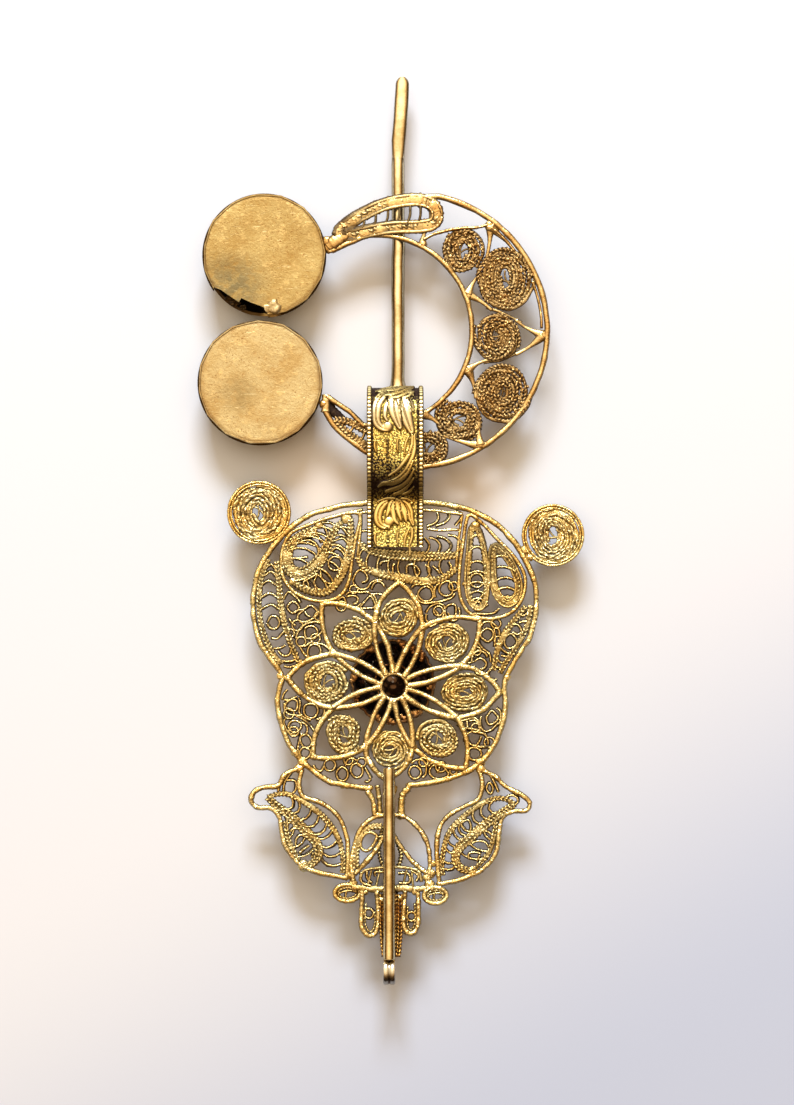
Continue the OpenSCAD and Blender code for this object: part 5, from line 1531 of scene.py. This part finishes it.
def rim(works):
    line = smooth(rim_path)
    works.lay(line, 0.98, sway=0.06, rough=0.04)
    works.lay(beside(line, 0.3)[40:90], 0.42, "rope", 0.7, works.z + 0.12, turn=1.6)
    works.lay(smooth(rim_shoulder), 0.5)
    works.solder(rim_lumps)


def petals(works):
    works.lay(circle(rosette_c, petal_ring_r), 0.72, closed=True, worn=0.8)
    for i, p in enumerate(petal_table):
        tip = np.array(p[:2])
        after = np.array(p[5:])
        before = np.array(petal_table[i - 1][5:])
        a = math.degrees(math.atan2(*(tip - rosette_c)[::-1]))
        for end, rise in ((after, petal_bow), (before, -petal_bow)):
            works.lay(arch(end, tip, rise, 16), 1.0, sway=0.05, swell=(1.15, 1, 0.95, 1.1), worn=0.1)
        for end, lean, rise in ((after, 6, -0.62), (before, -6, 0.62)):
            start = np.array(rosette_c) + petal_ring_r * direction(a + lean)
            works.lay(arch(start, end, rise, 12), 1.0, sway=0.04, worn=0.45, rough=0.03,
                      z=works.z + 0.08, swell=(1.1, 0.9, 1, 1.1))
    works.solder([(*p[5:], 0.75) for p in petal_table] + [(*p[:2], 0.6) for p in petal_table])


def coil(name, c, z, seed, pitch, oval=(1, 1), eye=(1, 1), plain=False, lumps=0, form="cord"):
    """A coil of two twisted wires on a plain one. A plain coil has two smooth rings round it."""
    works = Wirework(name, z, 0.8)
    middle = np.array(c[:2])
    outer = c[2] - (0.95 if plain else 0.12)
    twist = pitch * (2.3 if form == "cord" else 4.5)
    for arm, turn in enumerate((-twist, twist)):
        line = spiral(c, outer, seed, pitch, oval, eye, arms=2, arm=arm)
        works.lay(line, pitch * 1.32, form, turn=turn, rough=0.08, wave=0.14, sway=0,
                  worn=0.4 if plain else 0)
    # The plain wire under a coil's twisted ones, unless the coil is plain, and the loose ends across its
    # eye are painted dark as shade
    low, dark = (z, 0) if plain else (z - 0.1, -0.4)
    works.lay(spiral(c, outer, seed, pitch, oval, eye), pitch * 1.15, "fine", 0.5, low, worn=dark)
    # Two loose ends cross the coil's eye
    for k in (0, 1):
        a = seed * 77 + k * 30
        start, end = middle + 1.3 * direction(a), middle + 1.3 * direction(a + 150 + 40 * k)
        works.lay(arch(start, end, 0.35, 8), 0.34, "fine", 0.5, z - 0.15, worn=-0.5)
    if lumps:
        rng = np.random.default_rng(seed)
        far = np.sqrt(rng.uniform(0.12, 0.8, lumps)) * c[2]
        way = rng.uniform(0, 2 * math.pi, lumps)
        places = np.stack([far * np.cos(way), far * np.sin(way)], 1) * oval + middle
        works.solder(np.column_stack([places, rng.uniform(0.17, 0.3, lumps)]).tolist(), z + 0.16, 0.62)
    if plain:
        works.lay(circle(c, c[2] - 0.3, 80), 0.5, "round", 0.9, closed=True)
        works.lay(circle(c, c[2] - 0.74, 80), 0.42, "round", 0.85, closed=True)
    return works.build()


def curls(works, table, width=0.5):
    """Fine open wires, one for each row of a table."""
    for line in table:
        works.ribbon(smooth(np.reshape(line, (-1, 2))), width)


def rings(works, table, width=0.5):
    """Fine closed wires, one for each row of a table."""
    for line in table:
        works.ribbon(smooth(np.reshape(line, (-1, 2)), True), width, True)


def scales(works, a, b, count, rise, width=0.48):
    """Bowed wires side by side from one line to another."""
    for i in range(1, count + 1):
        t = (i + works.rng.uniform(-0.2, 0.2)) / (count + 1)
        works.ribbon(arch(at(a, t), at(b, t), rise * works.rng.uniform(0.75, 1.2), 4), width)


def left_panel(works):
    works.lay(smooth(left_frame, True), 0.68, closed=True)
    works.strand(smooth(left_comma), 2.2, rows=4, ends=(0.3, 0.4))
    works.strand(smooth(left_strand), 1.5, ends=(0.5, 0.4))
    scales(works, smooth(left_comma)[2:21], smooth(left_strand)[1:23], 9, 0.9)
    rings(works, [circle(left_ring, left_ring[2] - 0.5, 7)])
    scales(works, smooth(left_comma)[36:20:-1], smooth(left_comma)[0:16], 7, 0.9)
    curls(works, left_panel_curls)
    works.solder(left_lumps)


def right_panel(works):
    works.lay(smooth(right_frame, True), 0.68, closed=True)
    works.strand(smooth(right_long_loop, True), 1.15, True)
    works.strand(smooth(right_short_loop, True), 1.5, True, rows=3)
    for loop, turn, count in ((right_long_loop, 5, 8), (right_short_loop, 4, 5)):
        scales(works, smooth(loop[:turn]), smooth(loop[turn - 1:][::-1]), count, 0.8)
    rings(works, [circle(right_ring, right_ring[2], 10)])
    curls(works, right_panel_curls)
    works.solder(right_lumps)


def fan(works):
    works.strand(smooth(fan_upper), 1.8, rows=3, ends=(0.4, 0.5))
    works.strand(smooth(fan_lower), 1.5, ends=(0.5, 0.5))
    for line in (fan_side_left, fan_side_right, fan_top, fan_arm, fan_stalk):
        works.lay(smooth(line), 0.55)
    scales(works, smooth(fan_lower), smooth(fan_upper), fan_scales, 0.7)
    curls(works, fan_curls)


def edge_panel(works, side):
    works.strand(smooth(edge_outer[side]), 0.95)
    works.strand(smooth(edge_inner[side]), 1.15, ends=(0.6, 0.6))
    curls(works, edge_curls[side])


def fine_curls(works, place):
    curls(works, fine_lines[place])
    rings(works, fine_rings[place])
    rings(works, [circle(ring, ring[2], 6) for ring in small_rings[place]], 0.46)


def bird(works, side):
    """A bird's outline, its wing, sash and breast of twisted wires and the scales between them."""
    front, back, wing, sash, breast = map(smooth, bird_lines[side].values())
    for line in (front, back):
        works.lay(line, 0.86, sway=0.05, worn=0.25)
    works.strand(wing, 1.0, ends=(0.6, 0.7))
    works.strand(sash, 1.75, rows=3, ends=(0.5, 0.5))
    works.strand(breast, 0.9, ends=(0.6, 0.5))
    scales(works, breast, sash[:22], 4, bird_rise[side])
    scales(works, wing[3:], sash[3:22], 9, -2 * bird_rise[side])
    curls(works, bird_curls[side])
    works.solder(bird_lumps[side])
    rings(works, bird_rings[side])


def stem(works):
    # A negative worn paints a wire dark as shade
    for line, wide, worn in ((stem_left, 0.95, 0), (stem_left_inner, 0.95, -0.3), (stem_right, 1.2, 0),
                             (arch_left, 0.84, 0.2), (arch_right, 0.84, 0.6), (base_top, 0.6, -0.4),
                             (u_left, 0.84, 0.3), (u_right, 0.84, 0.3), (brace_left, 0.95, -0.1),
                             (brace_right, 0.9, 0.2)):
        works.lay(smooth(line), wide, sway=0.04, worn=worn, rough=0.1)
    works.strand(smooth(arch_left_inner), 1.1)
    works.lay(smooth(drop_left, True), 0.6, "fine", closed=True)
    for line in stem_cords:
        works.lay(smooth(line), 0.95, "cord", worn=-0.35, z=works.z - 0.15)
    works.lay(drop_tie, 0.36, "fine")
    works.lay(smooth(base_bar), 1.1, rough=0.12, sway=0.06, worn=-0.2)
    for low, top in base_ties:
        works.lay([[low, base_bar_y], [top, base_top_y]], 0.45, "fine", worn=-0.4)
    for x, y, wide, high in side_loops:
        works.lay(ellipse([x, y, wide, high]), 0.8, closed=True)
        works.lay(ellipse([x, y, wide - 0.6, high - 0.5]), 0.5, "rope", closed=True)
        works.ribbon(arch([x - wide + 0.5, y - 0.1], [x + wide - 0.5, y + 0.2], 0.35), 0.42)
        works.ribbon(arch([x - 0.2, y - high + 0.3], [x + 0.3, y + high - 0.3], 0.25), 0.42)
    for line, shift in ((u_left, 0.65), (u_right, -0.65)):
        works.lay(beside(smooth(line), shift)[3:-3], 0.5, "rope")
    rings(works, [circle(c, c[2], 8) for c in u_rings])
    curls(works, base_curls)
    works.lay([[0, arch_y], [0, base_bar_y]], 0.6)
    works.solder(base_lumps)


def tongue_strip(works):
    for k, x in enumerate((-1.6, -1.15, -0.7, 0.7, 1.15, 1.6)):
        line = [[x * 1.08, -60.7], [x * 1.1, -64], [x * 1.02, -68], [x * 0.82, -71.1]]
        works.lay(smooth(line), 0.62, "cord", 0.62, works.z + 0.12, turn=1.3 if k % 2 else -1.3)
    works.lay(smooth([[-0.1, -60.7], [-0.1, -71.1]]), 2.9, "round", 0.5, works.z - 0.2)


def crescent(works):
    outer = np.vstack([smooth(upper_end), arc(ring_c, ring_r, 78, -98, 90), smooth(lower_end)])
    works.lay(outer, 1.0, rough=0.008, sway=0.02, wave=0.02)
    inner = np.vstack([smooth(upper_inner_end), arc(bow_c, bow_r, 96, -98, 80), smooth(lower_inner_end)])
    works.lay(inner, 0.88, rough=0.02, wave=0.03)
    works.lay(arc(ring_c, ring_r - 0.95, 52, 37, 12), 0.5)
    works.lay(arc(ring_c, ring_r - 0.9, 22, 1, 14), 0.5)
    for bracket in (bracket_upper, bracket_lower):
        works.lay(bracket, 1.6, tall=1.1, worn=0.4)
    works.lay(smooth(link_upper), 0.56)
    for line in links_under:
        works.lay(smooth(line), 0.55, tall=0.4, z=works.z - 0.3)
    for s in struts:
        a, b = np.array(s[:2]), np.array(s[2:])
        works.lay(arch(a, b + (b - a) / np.linalg.norm(b - a) * 0.75, 0.25, 10), 0.6, tall=0.4, rough=0.02,
                  swell=(3, 2.3, 1.5, 1.1, 1, 1, 1), worn=0.2)
    works.solder(strut_lumps + disc_joints)


def bent_tie(tie, bend):
    a, b, c, d = tie
    return smooth([[a, b], [(a + c) / 2 + bend, (b + d) / 2], [c, d]])


def upper_scroll(works):
    works.z += 0.2
    line = smooth(scroll_upper, True)
    works.strand(line, 2.3, True, rows=3, turn=1.9, base_shade=-0.3)
    works.lay(line, 2.2, "round", 0.7, works.z + 0.03, closed=True, rough=0.1)
    works.lay(upper_wedge, 2.2, "round", 1.1, swell=(0.7, 1.15, 1, 0.6), worn=0.1)
    # The ties are painted dark as shade
    for tie in scroll_upper_ties:
        works.lay(bent_tie(tie, 0.3), 0.45, "fine", worn=-0.8)
    works.solder(wedge_lumps)


def lower_scroll(works):
    works.strand(smooth(scroll_lower_outer), 1.3, ends=(0.6, 1))
    works.strand(smooth(scroll_lower_inner), 1.4, ends=(0.6, 1))
    for tie in scroll_lower_ties:
        works.lay(bent_tie(tie, 0.2), 0.5, "fine")
    # The wedge lies low and is painted dark as shade
    works.lay(lower_wedge, 1.7, "round", 0.7, works.z - 0.3, swell=(1, 1, 0.5), worn=-0.8)


def setting_cup():
    """The jewel's closed back: a scalloped wall, a dark floor and a bezel round the centre stone."""
    top = plaque_z - GAP
    works = Wirework("setting_cup", top - 0.5, 0.9)
    wave = np.linspace(0, 2 * math.pi, 20 * 12, endpoint=False)
    r = 6.65 + 0.28 * np.abs(np.cos(wave * 10))
    edge = np.stack([r * np.cos(wave), r * np.sin(wave)], 1) + setting_c
    # The cup lies under the plaque and is painted dark as shade: its scalloped edge by its mark, its other
    # wires and solder by their low place
    works.lay(edge, 0.5, "round", closed=True, worn=-0.7)
    works.lay(circle(setting_c, centre_stone_r + 0.35, 60), 0.5, "rope", closed=True)
    works.solder([(*(setting_c + far * direction(way + turn)), size)
                  for way in setting_ways for far, size, turn in setting_lumps])
    # Profiles as distances from the axis and heights
    hole = centre_stone_r + 0.06
    wall = [(6.35, 0.2), (6.8, 0.2), (6.85, 1), (6.8, top - 0.6), (6.35, top - 0.6), (6.3, 1)]
    collar = [(hole, 0.3), (3.05, 0.3), (3.05, top - 0.5), (hole, top - 0.5)]
    back = [(0, 0.25), (6.5, 0.25), (6.5, 0.8), (3.2, 1.0), (0, 0.8)]
    for profile in (wall, collar, back):
        part = lathe(profile, (*setting_c, 0), steps=72, closed=profile is not back)
        # The wall, collar and back are painted fully dark as shade
        mark(part, "groove_and_shade", np.ones(len(part.data.vertices)))
        works.others.append(to_metres(part))
    return works.build()


def rod_mesh():
    """The tube, a little uneven along its length, with its hollow upper end."""
    # The profile as distances from the axis and along it
    length = rod_top_y - rod_end_y
    profile = [(0, 2), (0.7, 2), (0.7, 0.1), (0.76, 0), (0.94, 0), (1, 0.1)]
    profile += [(1 + 0.02 * math.sin(k * 1.7), 0.1 + k * length / 24) for k in range(1, 24)]
    profile += [(1, length - 0.1), (0.9, length), (0, length)]
    rod = lathe(profile, (rod_x, rod_top_y, rod_z), (math.pi / 2, 0, 0), 40)
    x, y, z = points_of(rod).T
    # Its sides and underside are painted dark as shade, its right side more than its left
    side = np.clip((0.7 - (z - rod_z)) / 0.5, 0, 1) * np.where(x < rod_x, 0.6, 1)
    mark(rod, "groove_and_shade", np.where(y > rod_top_y - 0.05, 0, side))
    rod.name = "rod_tube"
    return to_metres(rod)


def eye_mesh():
    """The eye at the rod's lower end, marked darker inside its outer edge and towards its lower end."""
    # Half of the profile as distances from the axis and from the ring's middle
    half = [(eye_hole_r, 0.8), (eye_hole_r + 0.12, 0.98), (eye_r - 0.25, 1), (eye_r - 0.07, 0.9),
            (eye_r, 0.7), (eye_r, 0.3), (eye_r - 0.13, 0.1)]
    ring = [(r, -h) for r, h in half] + half[::-1]
    eye = lathe(ring, (rod_x, eye_y - GAP, eye_z), (0, math.pi / 2, 0), 64, closed=True)
    y, z = points_of(eye).T[1:]
    near_axis = np.hypot(y - eye_y + GAP, z - eye_z) < 2.05
    mark(eye, "groove_and_shade", np.clip((eye_y + 1 - y) / 3, 0, 0.8) + near_axis * 0.4)
    eye.name = "eye_ring"
    return to_metres(eye)


# Sizes and colours that a user would change

def length_setting(label, about, default):
    return bpy.props.FloatProperty(name=label, description=about, default=default, unit="LENGTH")


def colour_setting(label, about, *default):
    return bpy.props.FloatVectorProperty(name=label, description=about, subtype="COLOR",
                                         default=rgb(*default)[:3])


class BroochSizes(bpy.types.PropertyGroup):
    relief: length_setting("Strap relief", "Height of the strap's raised leaves", 0.00038)
    pin_width: length_setting("Pin width", "Diameter of the pin's wire", 0.0022)
    view_height: length_setting("Camera height", "How far the camera is above the brooch", 0.6)


class BroochColours(bpy.types.PropertyGroup):
    bright_gilt: colour_setting("Bright gilt", "Gilding where it is polished by wear", 250, 236, 176)
    deep_gilt: colour_setting("Deep gilt", "Gilding away from the wear", 236, 202, 122)
    # Besides the patina, this brown paints the shade on the wires' sides, undersides and low parts
    patina_and_shade: colour_setting("Patina", "The brown layer in the crevices", 38, 18, 5)
    floor: colour_setting("Floor", "The pale surface that the brooch lies on", 217, 223, 236)


def finish(kind):
    """One of the brooch's finishes, made when it is first asked for."""
    name = "brooch_" + kind
    if name in bpy.data.materials:
        return bpy.data.materials[name]
    c = bpy.context.scene.brooch_colours
    bright, deep, patina_and_shade = linear(c.bright_gilt), linear(c.deep_gilt), linear(c.patina_and_shade)
    makers = {
        "plaque_wire": lambda: gilt_wire(name, bright, deep, patina_and_shade, 5.4),
        "coil_wire": lambda: gilt_wire(name, bright, rgb(250, 214, 128), patina_and_shade, 5.3, 0.1, groove_shade=0.82),
        "crescent_wire": lambda: gilt_wire(
            name, rgb(240, 214, 154), rgb(206, 168, 106), patina_and_shade, 6.0, 0.6, 0.06, 0.2),
        "crescent_coil": lambda: gilt_wire(
            name, rgb(232, 202, 142), rgb(206, 168, 106), rgb(50, 26, 9), 6.0, 0.8, 0.13, 0.3),
        "tongue_wire": lambda: gilt_wire(name, rgb(246, 194, 104), rgb(214, 144, 66), patina_and_shade, 5.4, 0.5),
        "setting": lambda: gilt_wire(name, rgb(240, 190, 124), rgb(170, 116, 66), rgb(30, 16, 9), 4.5, 1.8),
        "upper_sheet": lambda: gilt_sheet(
            name, rgb(190, 168, 114), rgb(176, 148, 92), rgb(118, 108, 76), disc_upper_c, upper_tarnish),
        "lower_sheet": lambda: gilt_sheet(
            name, rgb(204, 187, 142), rgb(188, 161, 109), rgb(166, 141, 90), disc_lower_c, lower_tarnish),
        "strap_gilt": lambda: embossed_gilt(name, rgb(252, 236, 168), rgb(238, 204, 118), rgb(36, 14, 4)),
        "pin_metal": lambda: drawn_metal(name, rgb(248, 238, 202), rgb(200, 180, 132)),
        "rod_metal": lambda: drawn_metal(name, rgb(232, 220, 176), rgb(184, 162, 112)),
        "silver": lambda: drawn_metal(name, rgb(252, 248, 232), rgb(206, 198, 174), 0.24),
        "brown_stone": lambda: cut_glass(name, rgb(44, 29, 20), rgb(160, 118, 84)),
        "dark_stone": lambda: cut_glass(name, rgb(20, 12, 10), rgb(78, 52, 44))
    }
    return makers[kind]()


def wire_piece(node, name, z, tall, draw, kind="plaque_wire", body="brooch"):
    """Lays the wires of one piece and hands it over."""
    works = Wirework(name, z, tall)
    draw(works)
    hand_over(works.build(), kind, node, body)


# Operators, one for each piece or group of like pieces

class MakePin(bpy.types.Operator):
    """Makes the long pin with its hammered tip"""
    bl_idname = "brooch.pin"
    bl_label = "Pin"

    def execute(self, context):
        hand_over(pin_mesh(context.scene.brooch_sizes.pin_width / MM), "pin_metal", "pin")
        return {"FINISHED"}


class MakeStrap(bpy.types.Operator):
    """Makes the embossed strap that holds the crescent and the pin"""
    bl_idname = "brooch.strap"
    bl_label = "Strap loop"

    def execute(self, context):
        ob = strap_mesh(context.scene.brooch_sizes.relief / MM)
        ob.name = "strap_band"
        hand_over(ob, "strap_gilt", "strap_loop")
        return {"FINISHED"}


class MakeRosette(bpy.types.Operator):
    """Makes the plaque's rim wire and the petals of the rosette"""
    bl_idname = "brooch.rosette"
    bl_label = "Rim and rosette"

    def execute(self, context):
        wire_piece("plaque_rim", "rim_wires", plaque_mid, plaque_h, rim)
        wire_piece("rosette", "rosette_wires", plaque_mid, plaque_h, petals)
        return {"FINISHED"}


class MakeCoils(bpy.types.Operator):
    """Makes the tight coils of twisted wire"""
    bl_idname = "brooch.coils"
    bl_label = "Coils"

    def execute(self, context):
        for i, p in enumerate(petal_table):
            form = "rope" if i in rope_petals else "cord"
            ob = coil("petal_spiral_%d" % (i + 1), p[2:5], plaque_mid, i + 1, petal_pitch[form],
                      petal_ovals[i], petal_eyes[i], form=form)
            hand_over(ob, "coil_wire", "petal_coil_%d" % (i + 1))
        for side, c, seed, pitch in (("left", corner_left, 20, 0.6), ("right", corner_right, 23, 0.46)):
            ob = coil("corner_spiral_" + side, c, plaque_mid, seed, pitch, eye=(0.85, 1.25), plain=True,
                      form="rope")
            hand_over(ob, "coil_wire", "corner_coil_" + side)
        for i, (x, y, r) in enumerate(ring_coil_table):
            r += 0.15
            ob = coil("ring_spiral_%d" % (i + 1), [x, y, r], ring_mid, i + 31, ring_pitch, ring_ovals[i],
                      ring_eyes[i], lumps=int(r * 16))
            hand_over(ob, "crescent_coil", "ring_coil_%d" % (i + 1), "crescent")
        return {"FINISHED"}


class MakePanels(bpy.types.Operator):
    """Makes the filled panels and the fine curls between the petals"""
    bl_idname = "brooch.panels"
    bl_label = "Panels and curls"

    def execute(self, context):
        for node, name, draw in (("scroll_panel_left", "left_panel_wires", left_panel),
                                 ("scroll_panel_right", "right_panel_wires", right_panel),
                                 ("fan_panel", "fan_wires", fan)):
            wire_piece(node, name, plaque_mid, panel_h, draw)
        for side in ("left", "right"):
            wire_piece("edge_panel_" + side, side + "_edge_wires", plaque_mid, panel_h,
                       lambda works: edge_panel(works, side))
        for place in fine_lines:
            wire_piece(None, "fine_curls_" + place, plaque_mid, panel_h,
                       lambda works: fine_curls(works, place))
        return {"FINISHED"}


class MakeBirds(bpy.types.Operator):
    """Makes the two birds at the foot of the plaque"""
    bl_idname = "brooch.birds"
    bl_label = "Birds"

    def execute(self, context):
        for side in ("left", "right"):
            wire_piece("bird_" + side, side + "_bird_wires", plaque_mid, plaque_h,
                       lambda works: bird(works, side))
        return {"FINISHED"}


class MakeStem(bpy.types.Operator):
    """Makes the stem with its base, and the tongue below it"""
    bl_idname = "brooch.stem"
    bl_label = "Stem and tongue"

    def execute(self, context):
        wire_piece("stem_base", "stem_wires", plaque_mid, plaque_h, stem)
        wire_piece("tongue", "tongue_wires", plaque_mid, tongue_h, tongue_strip, "tongue_wire")
        return {"FINISHED"}


class MakeRod(bpy.types.Operator):
    """Makes the tube on the back and the eye at its end"""
    bl_idname = "brooch.rod"
    bl_label = "Rod and eye"

    def execute(self, context):
        hand_over(rod_mesh(), "rod_metal", "support_rod")
        hand_over(eye_mesh(), "silver", "end_eye")
        return {"FINISHED"}


class MakeCrescent(bpy.types.Operator):
    """Makes the crescent ring with the scrolls in its arms"""
    bl_idname = "brooch.crescent"
    bl_label = "Crescent"

    def execute(self, context):
        for node, name, draw in (("ring_frame", "crescent_wires", crescent),
                                 ("arm_scroll_upper", "upper_scroll_wires", upper_scroll),
                                 ("arm_scroll_lower", "lower_scroll_wires", lower_scroll)):
            wire_piece(node, name, ring_mid, ring_h, draw, "crescent_wire", "crescent")
        return {"FINISHED"}


class MakeDiscs(bpy.types.Operator):
    """Makes the two hollow discs, the upper one torn"""
    bl_idname = "brooch.discs"
    bl_label = "Discs"

    def execute(self, context):
        for side, *form in (("upper", disc_upper_c, disc_upper_r, 20, True),
                            ("lower", disc_lower_c, disc_lower_r, 75, False)):
            ob = disc_mesh(side + "_disc_sheet", *form)
            hand_over(ob, side + "_sheet", "disc_" + side, "crescent")
        return {"FINISHED"}


class DressJewel(bpy.types.Operator):
    """Makes the jewel's closed back and gives the stones their finishes"""
    bl_idname = "brooch.jewel"
    bl_label = "Jewel"

    def execute(self, context):
        hand_over(setting_cup(), "setting", "stone_setting")
        kinds = {"centre_stone": "brown_stone"}
        kinds.update({"side_stone_%d" % (i + 1): "dark_stone" for i in range(len(petal_table))})
        for node, kind in kinds.items():
            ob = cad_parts[node]
            ob.data.materials.clear()
            ob.data.materials.append(finish(kind))
        return {"FINISHED"}


# The stage

def pale_floor(tone):
    """The floor's finish: cooler and darker in its far corner as painted shade, and warmed round the brooch
    by painted light and shadow from the gold.
    """
    f = new_finish("pale_floor")
    pale = f.mix(f.ramp(f.along((0.5, -0.86, 0)), 0.02, 0.1), linear(tone), rgb(182, 194, 222))
    across, down = f.along((36, 0, 0)), f.along((0, 13, 0))
    far = f.add(f.times(across, across), f.times(down, down))
    past_strap = f.ramp(f.along((0, 1, 0)), 0.0, 0.022, 1.0, 0.3)
    warm = f.times(f.ramp(far, 0.15, 0.75, 1.0, 0.0), past_strap)
    return f.set(
        Base_Color=f.mix(warm, pale, rgb(228, 218, 210)),
        Roughness=0.9,
        Specular_IOR_Level=0.1,
        Normal=f.bump(f.noise(1.2, 4), 0.02, 0.3)
    )


def soft_sky():
    """Soft light from above, brightest towards the pin's point and warm low down."""
    world = bpy.data.worlds.new("soft_light")
    sky = Finish(world, "Generated")
    place = sky.node("MapRange", "Result", {"Value": sky.along(sky_top), "From Min": -1.0})
    shine = sky.nodes.new("ShaderNodeValToRGB")
    ends = shine.color_ramp.elements[:]
    for end, (level, *tone) in zip(ends, (sky_light[0], sky_light[-1])):
        end.position = level
        end.color = (*tone, 1)
    for level, *tone in sky_light[1:-1]:
        shine.color_ramp.elements.new(level).color = (*tone, 1)
    sky.link(place, shine.inputs[0])
    sky.link(shine.outputs[0], sky.nodes["Background"].inputs["Color"])
    sky.link(sky_strength, sky.nodes["Background"].inputs["Strength"])
    return world


class SetStage(bpy.types.Operator):
    """Makes the pale floor, the soft light and the camera above the brooch"""
    bl_idname = "brooch.stage"
    bl_label = "Stage"

    def execute(self, context):
        scene = context.scene
        scene.view_settings.view_transform = "Standard"
        deselect()
        bpy.ops.mesh.primitive_plane_add(size=3, location=(0, 0, -0.0002))
        floor = context.object
        floor.name = "floor"
        floor.data.materials.append(pale_floor(scene.brooch_colours.floor))
        scene.world = soft_sky()
        deselect()
        bpy.ops.object.light_add(type="AREA", location=light_place,
                                 rotation=(math.radians(light_tilt), 0, 0))
        key = context.object.data
        key.shape = "RECTANGLE"
        key.size = light_wide
        key.size_y = light_high
        key.energy = light_power
        key.color = light_tone
        x, y, z = camera_over
        height = scene.brooch_sizes.view_height
        bpy.ops.object.camera_add(location=(x, y, z + height), rotation=(0, 0, 0))
        scene.camera = context.object
        lens = scene.camera.data
        lens.sensor_fit = "AUTO"
        lens.sensor_width = 36
        lens.lens = lens.sensor_width * height / seen_length
        return {"FINISHED"}


class BroochPanel(bpy.types.Panel):
    """Lists the brooch's pieces, sizes and colours"""
    bl_idname = "VIEW3D_PT_brooch"
    bl_label = "Fibula Brooch"
    bl_space_type = "VIEW_3D"
    bl_region_type = "UI"
    bl_category = "Brooch"

    def draw(self, context):
        for group in (context.scene.brooch_sizes, context.scene.brooch_colours):
            for name in group.__annotations__:
                self.layout.prop(group, name)
        for kind in MAKERS:
            self.layout.operator(kind.bl_idname)


MAKERS = (SetStage, MakePin, MakeStrap, MakeRosette, MakeCoils, MakePanels, MakeBirds, MakeStem, MakeRod,
          MakeCrescent, MakeDiscs, DressJewel)
CLASSES = (BroochSizes, BroochColours) + MAKERS + (BroochPanel,)


def register():
    for kind in CLASSES:
        bpy.utils.register_class(kind)
    bpy.types.Scene.brooch_sizes = bpy.props.PointerProperty(type=BroochSizes)
    bpy.types.Scene.brooch_colours = bpy.props.PointerProperty(type=BroochColours)


def unregister():
    del bpy.types.Scene.brooch_colours
    del bpy.types.Scene.brooch_sizes
    for kind in reversed(CLASSES):
        bpy.utils.unregister_class(kind)


def main():
    register()
    bpy.ops.brooch.stage()
    bpy.ops.brooch.pin()
    bpy.ops.brooch.strap()
    bpy.ops.brooch.rosette()
    bpy.ops.brooch.coils()
    bpy.ops.brooch.panels()
    bpy.ops.brooch.birds()
    bpy.ops.brooch.stem()
    bpy.ops.brooch.rod()
    bpy.ops.brooch.crescent()
    bpy.ops.brooch.discs()
    bpy.ops.brooch.jewel()


if __name__ == "__main__":
    main()
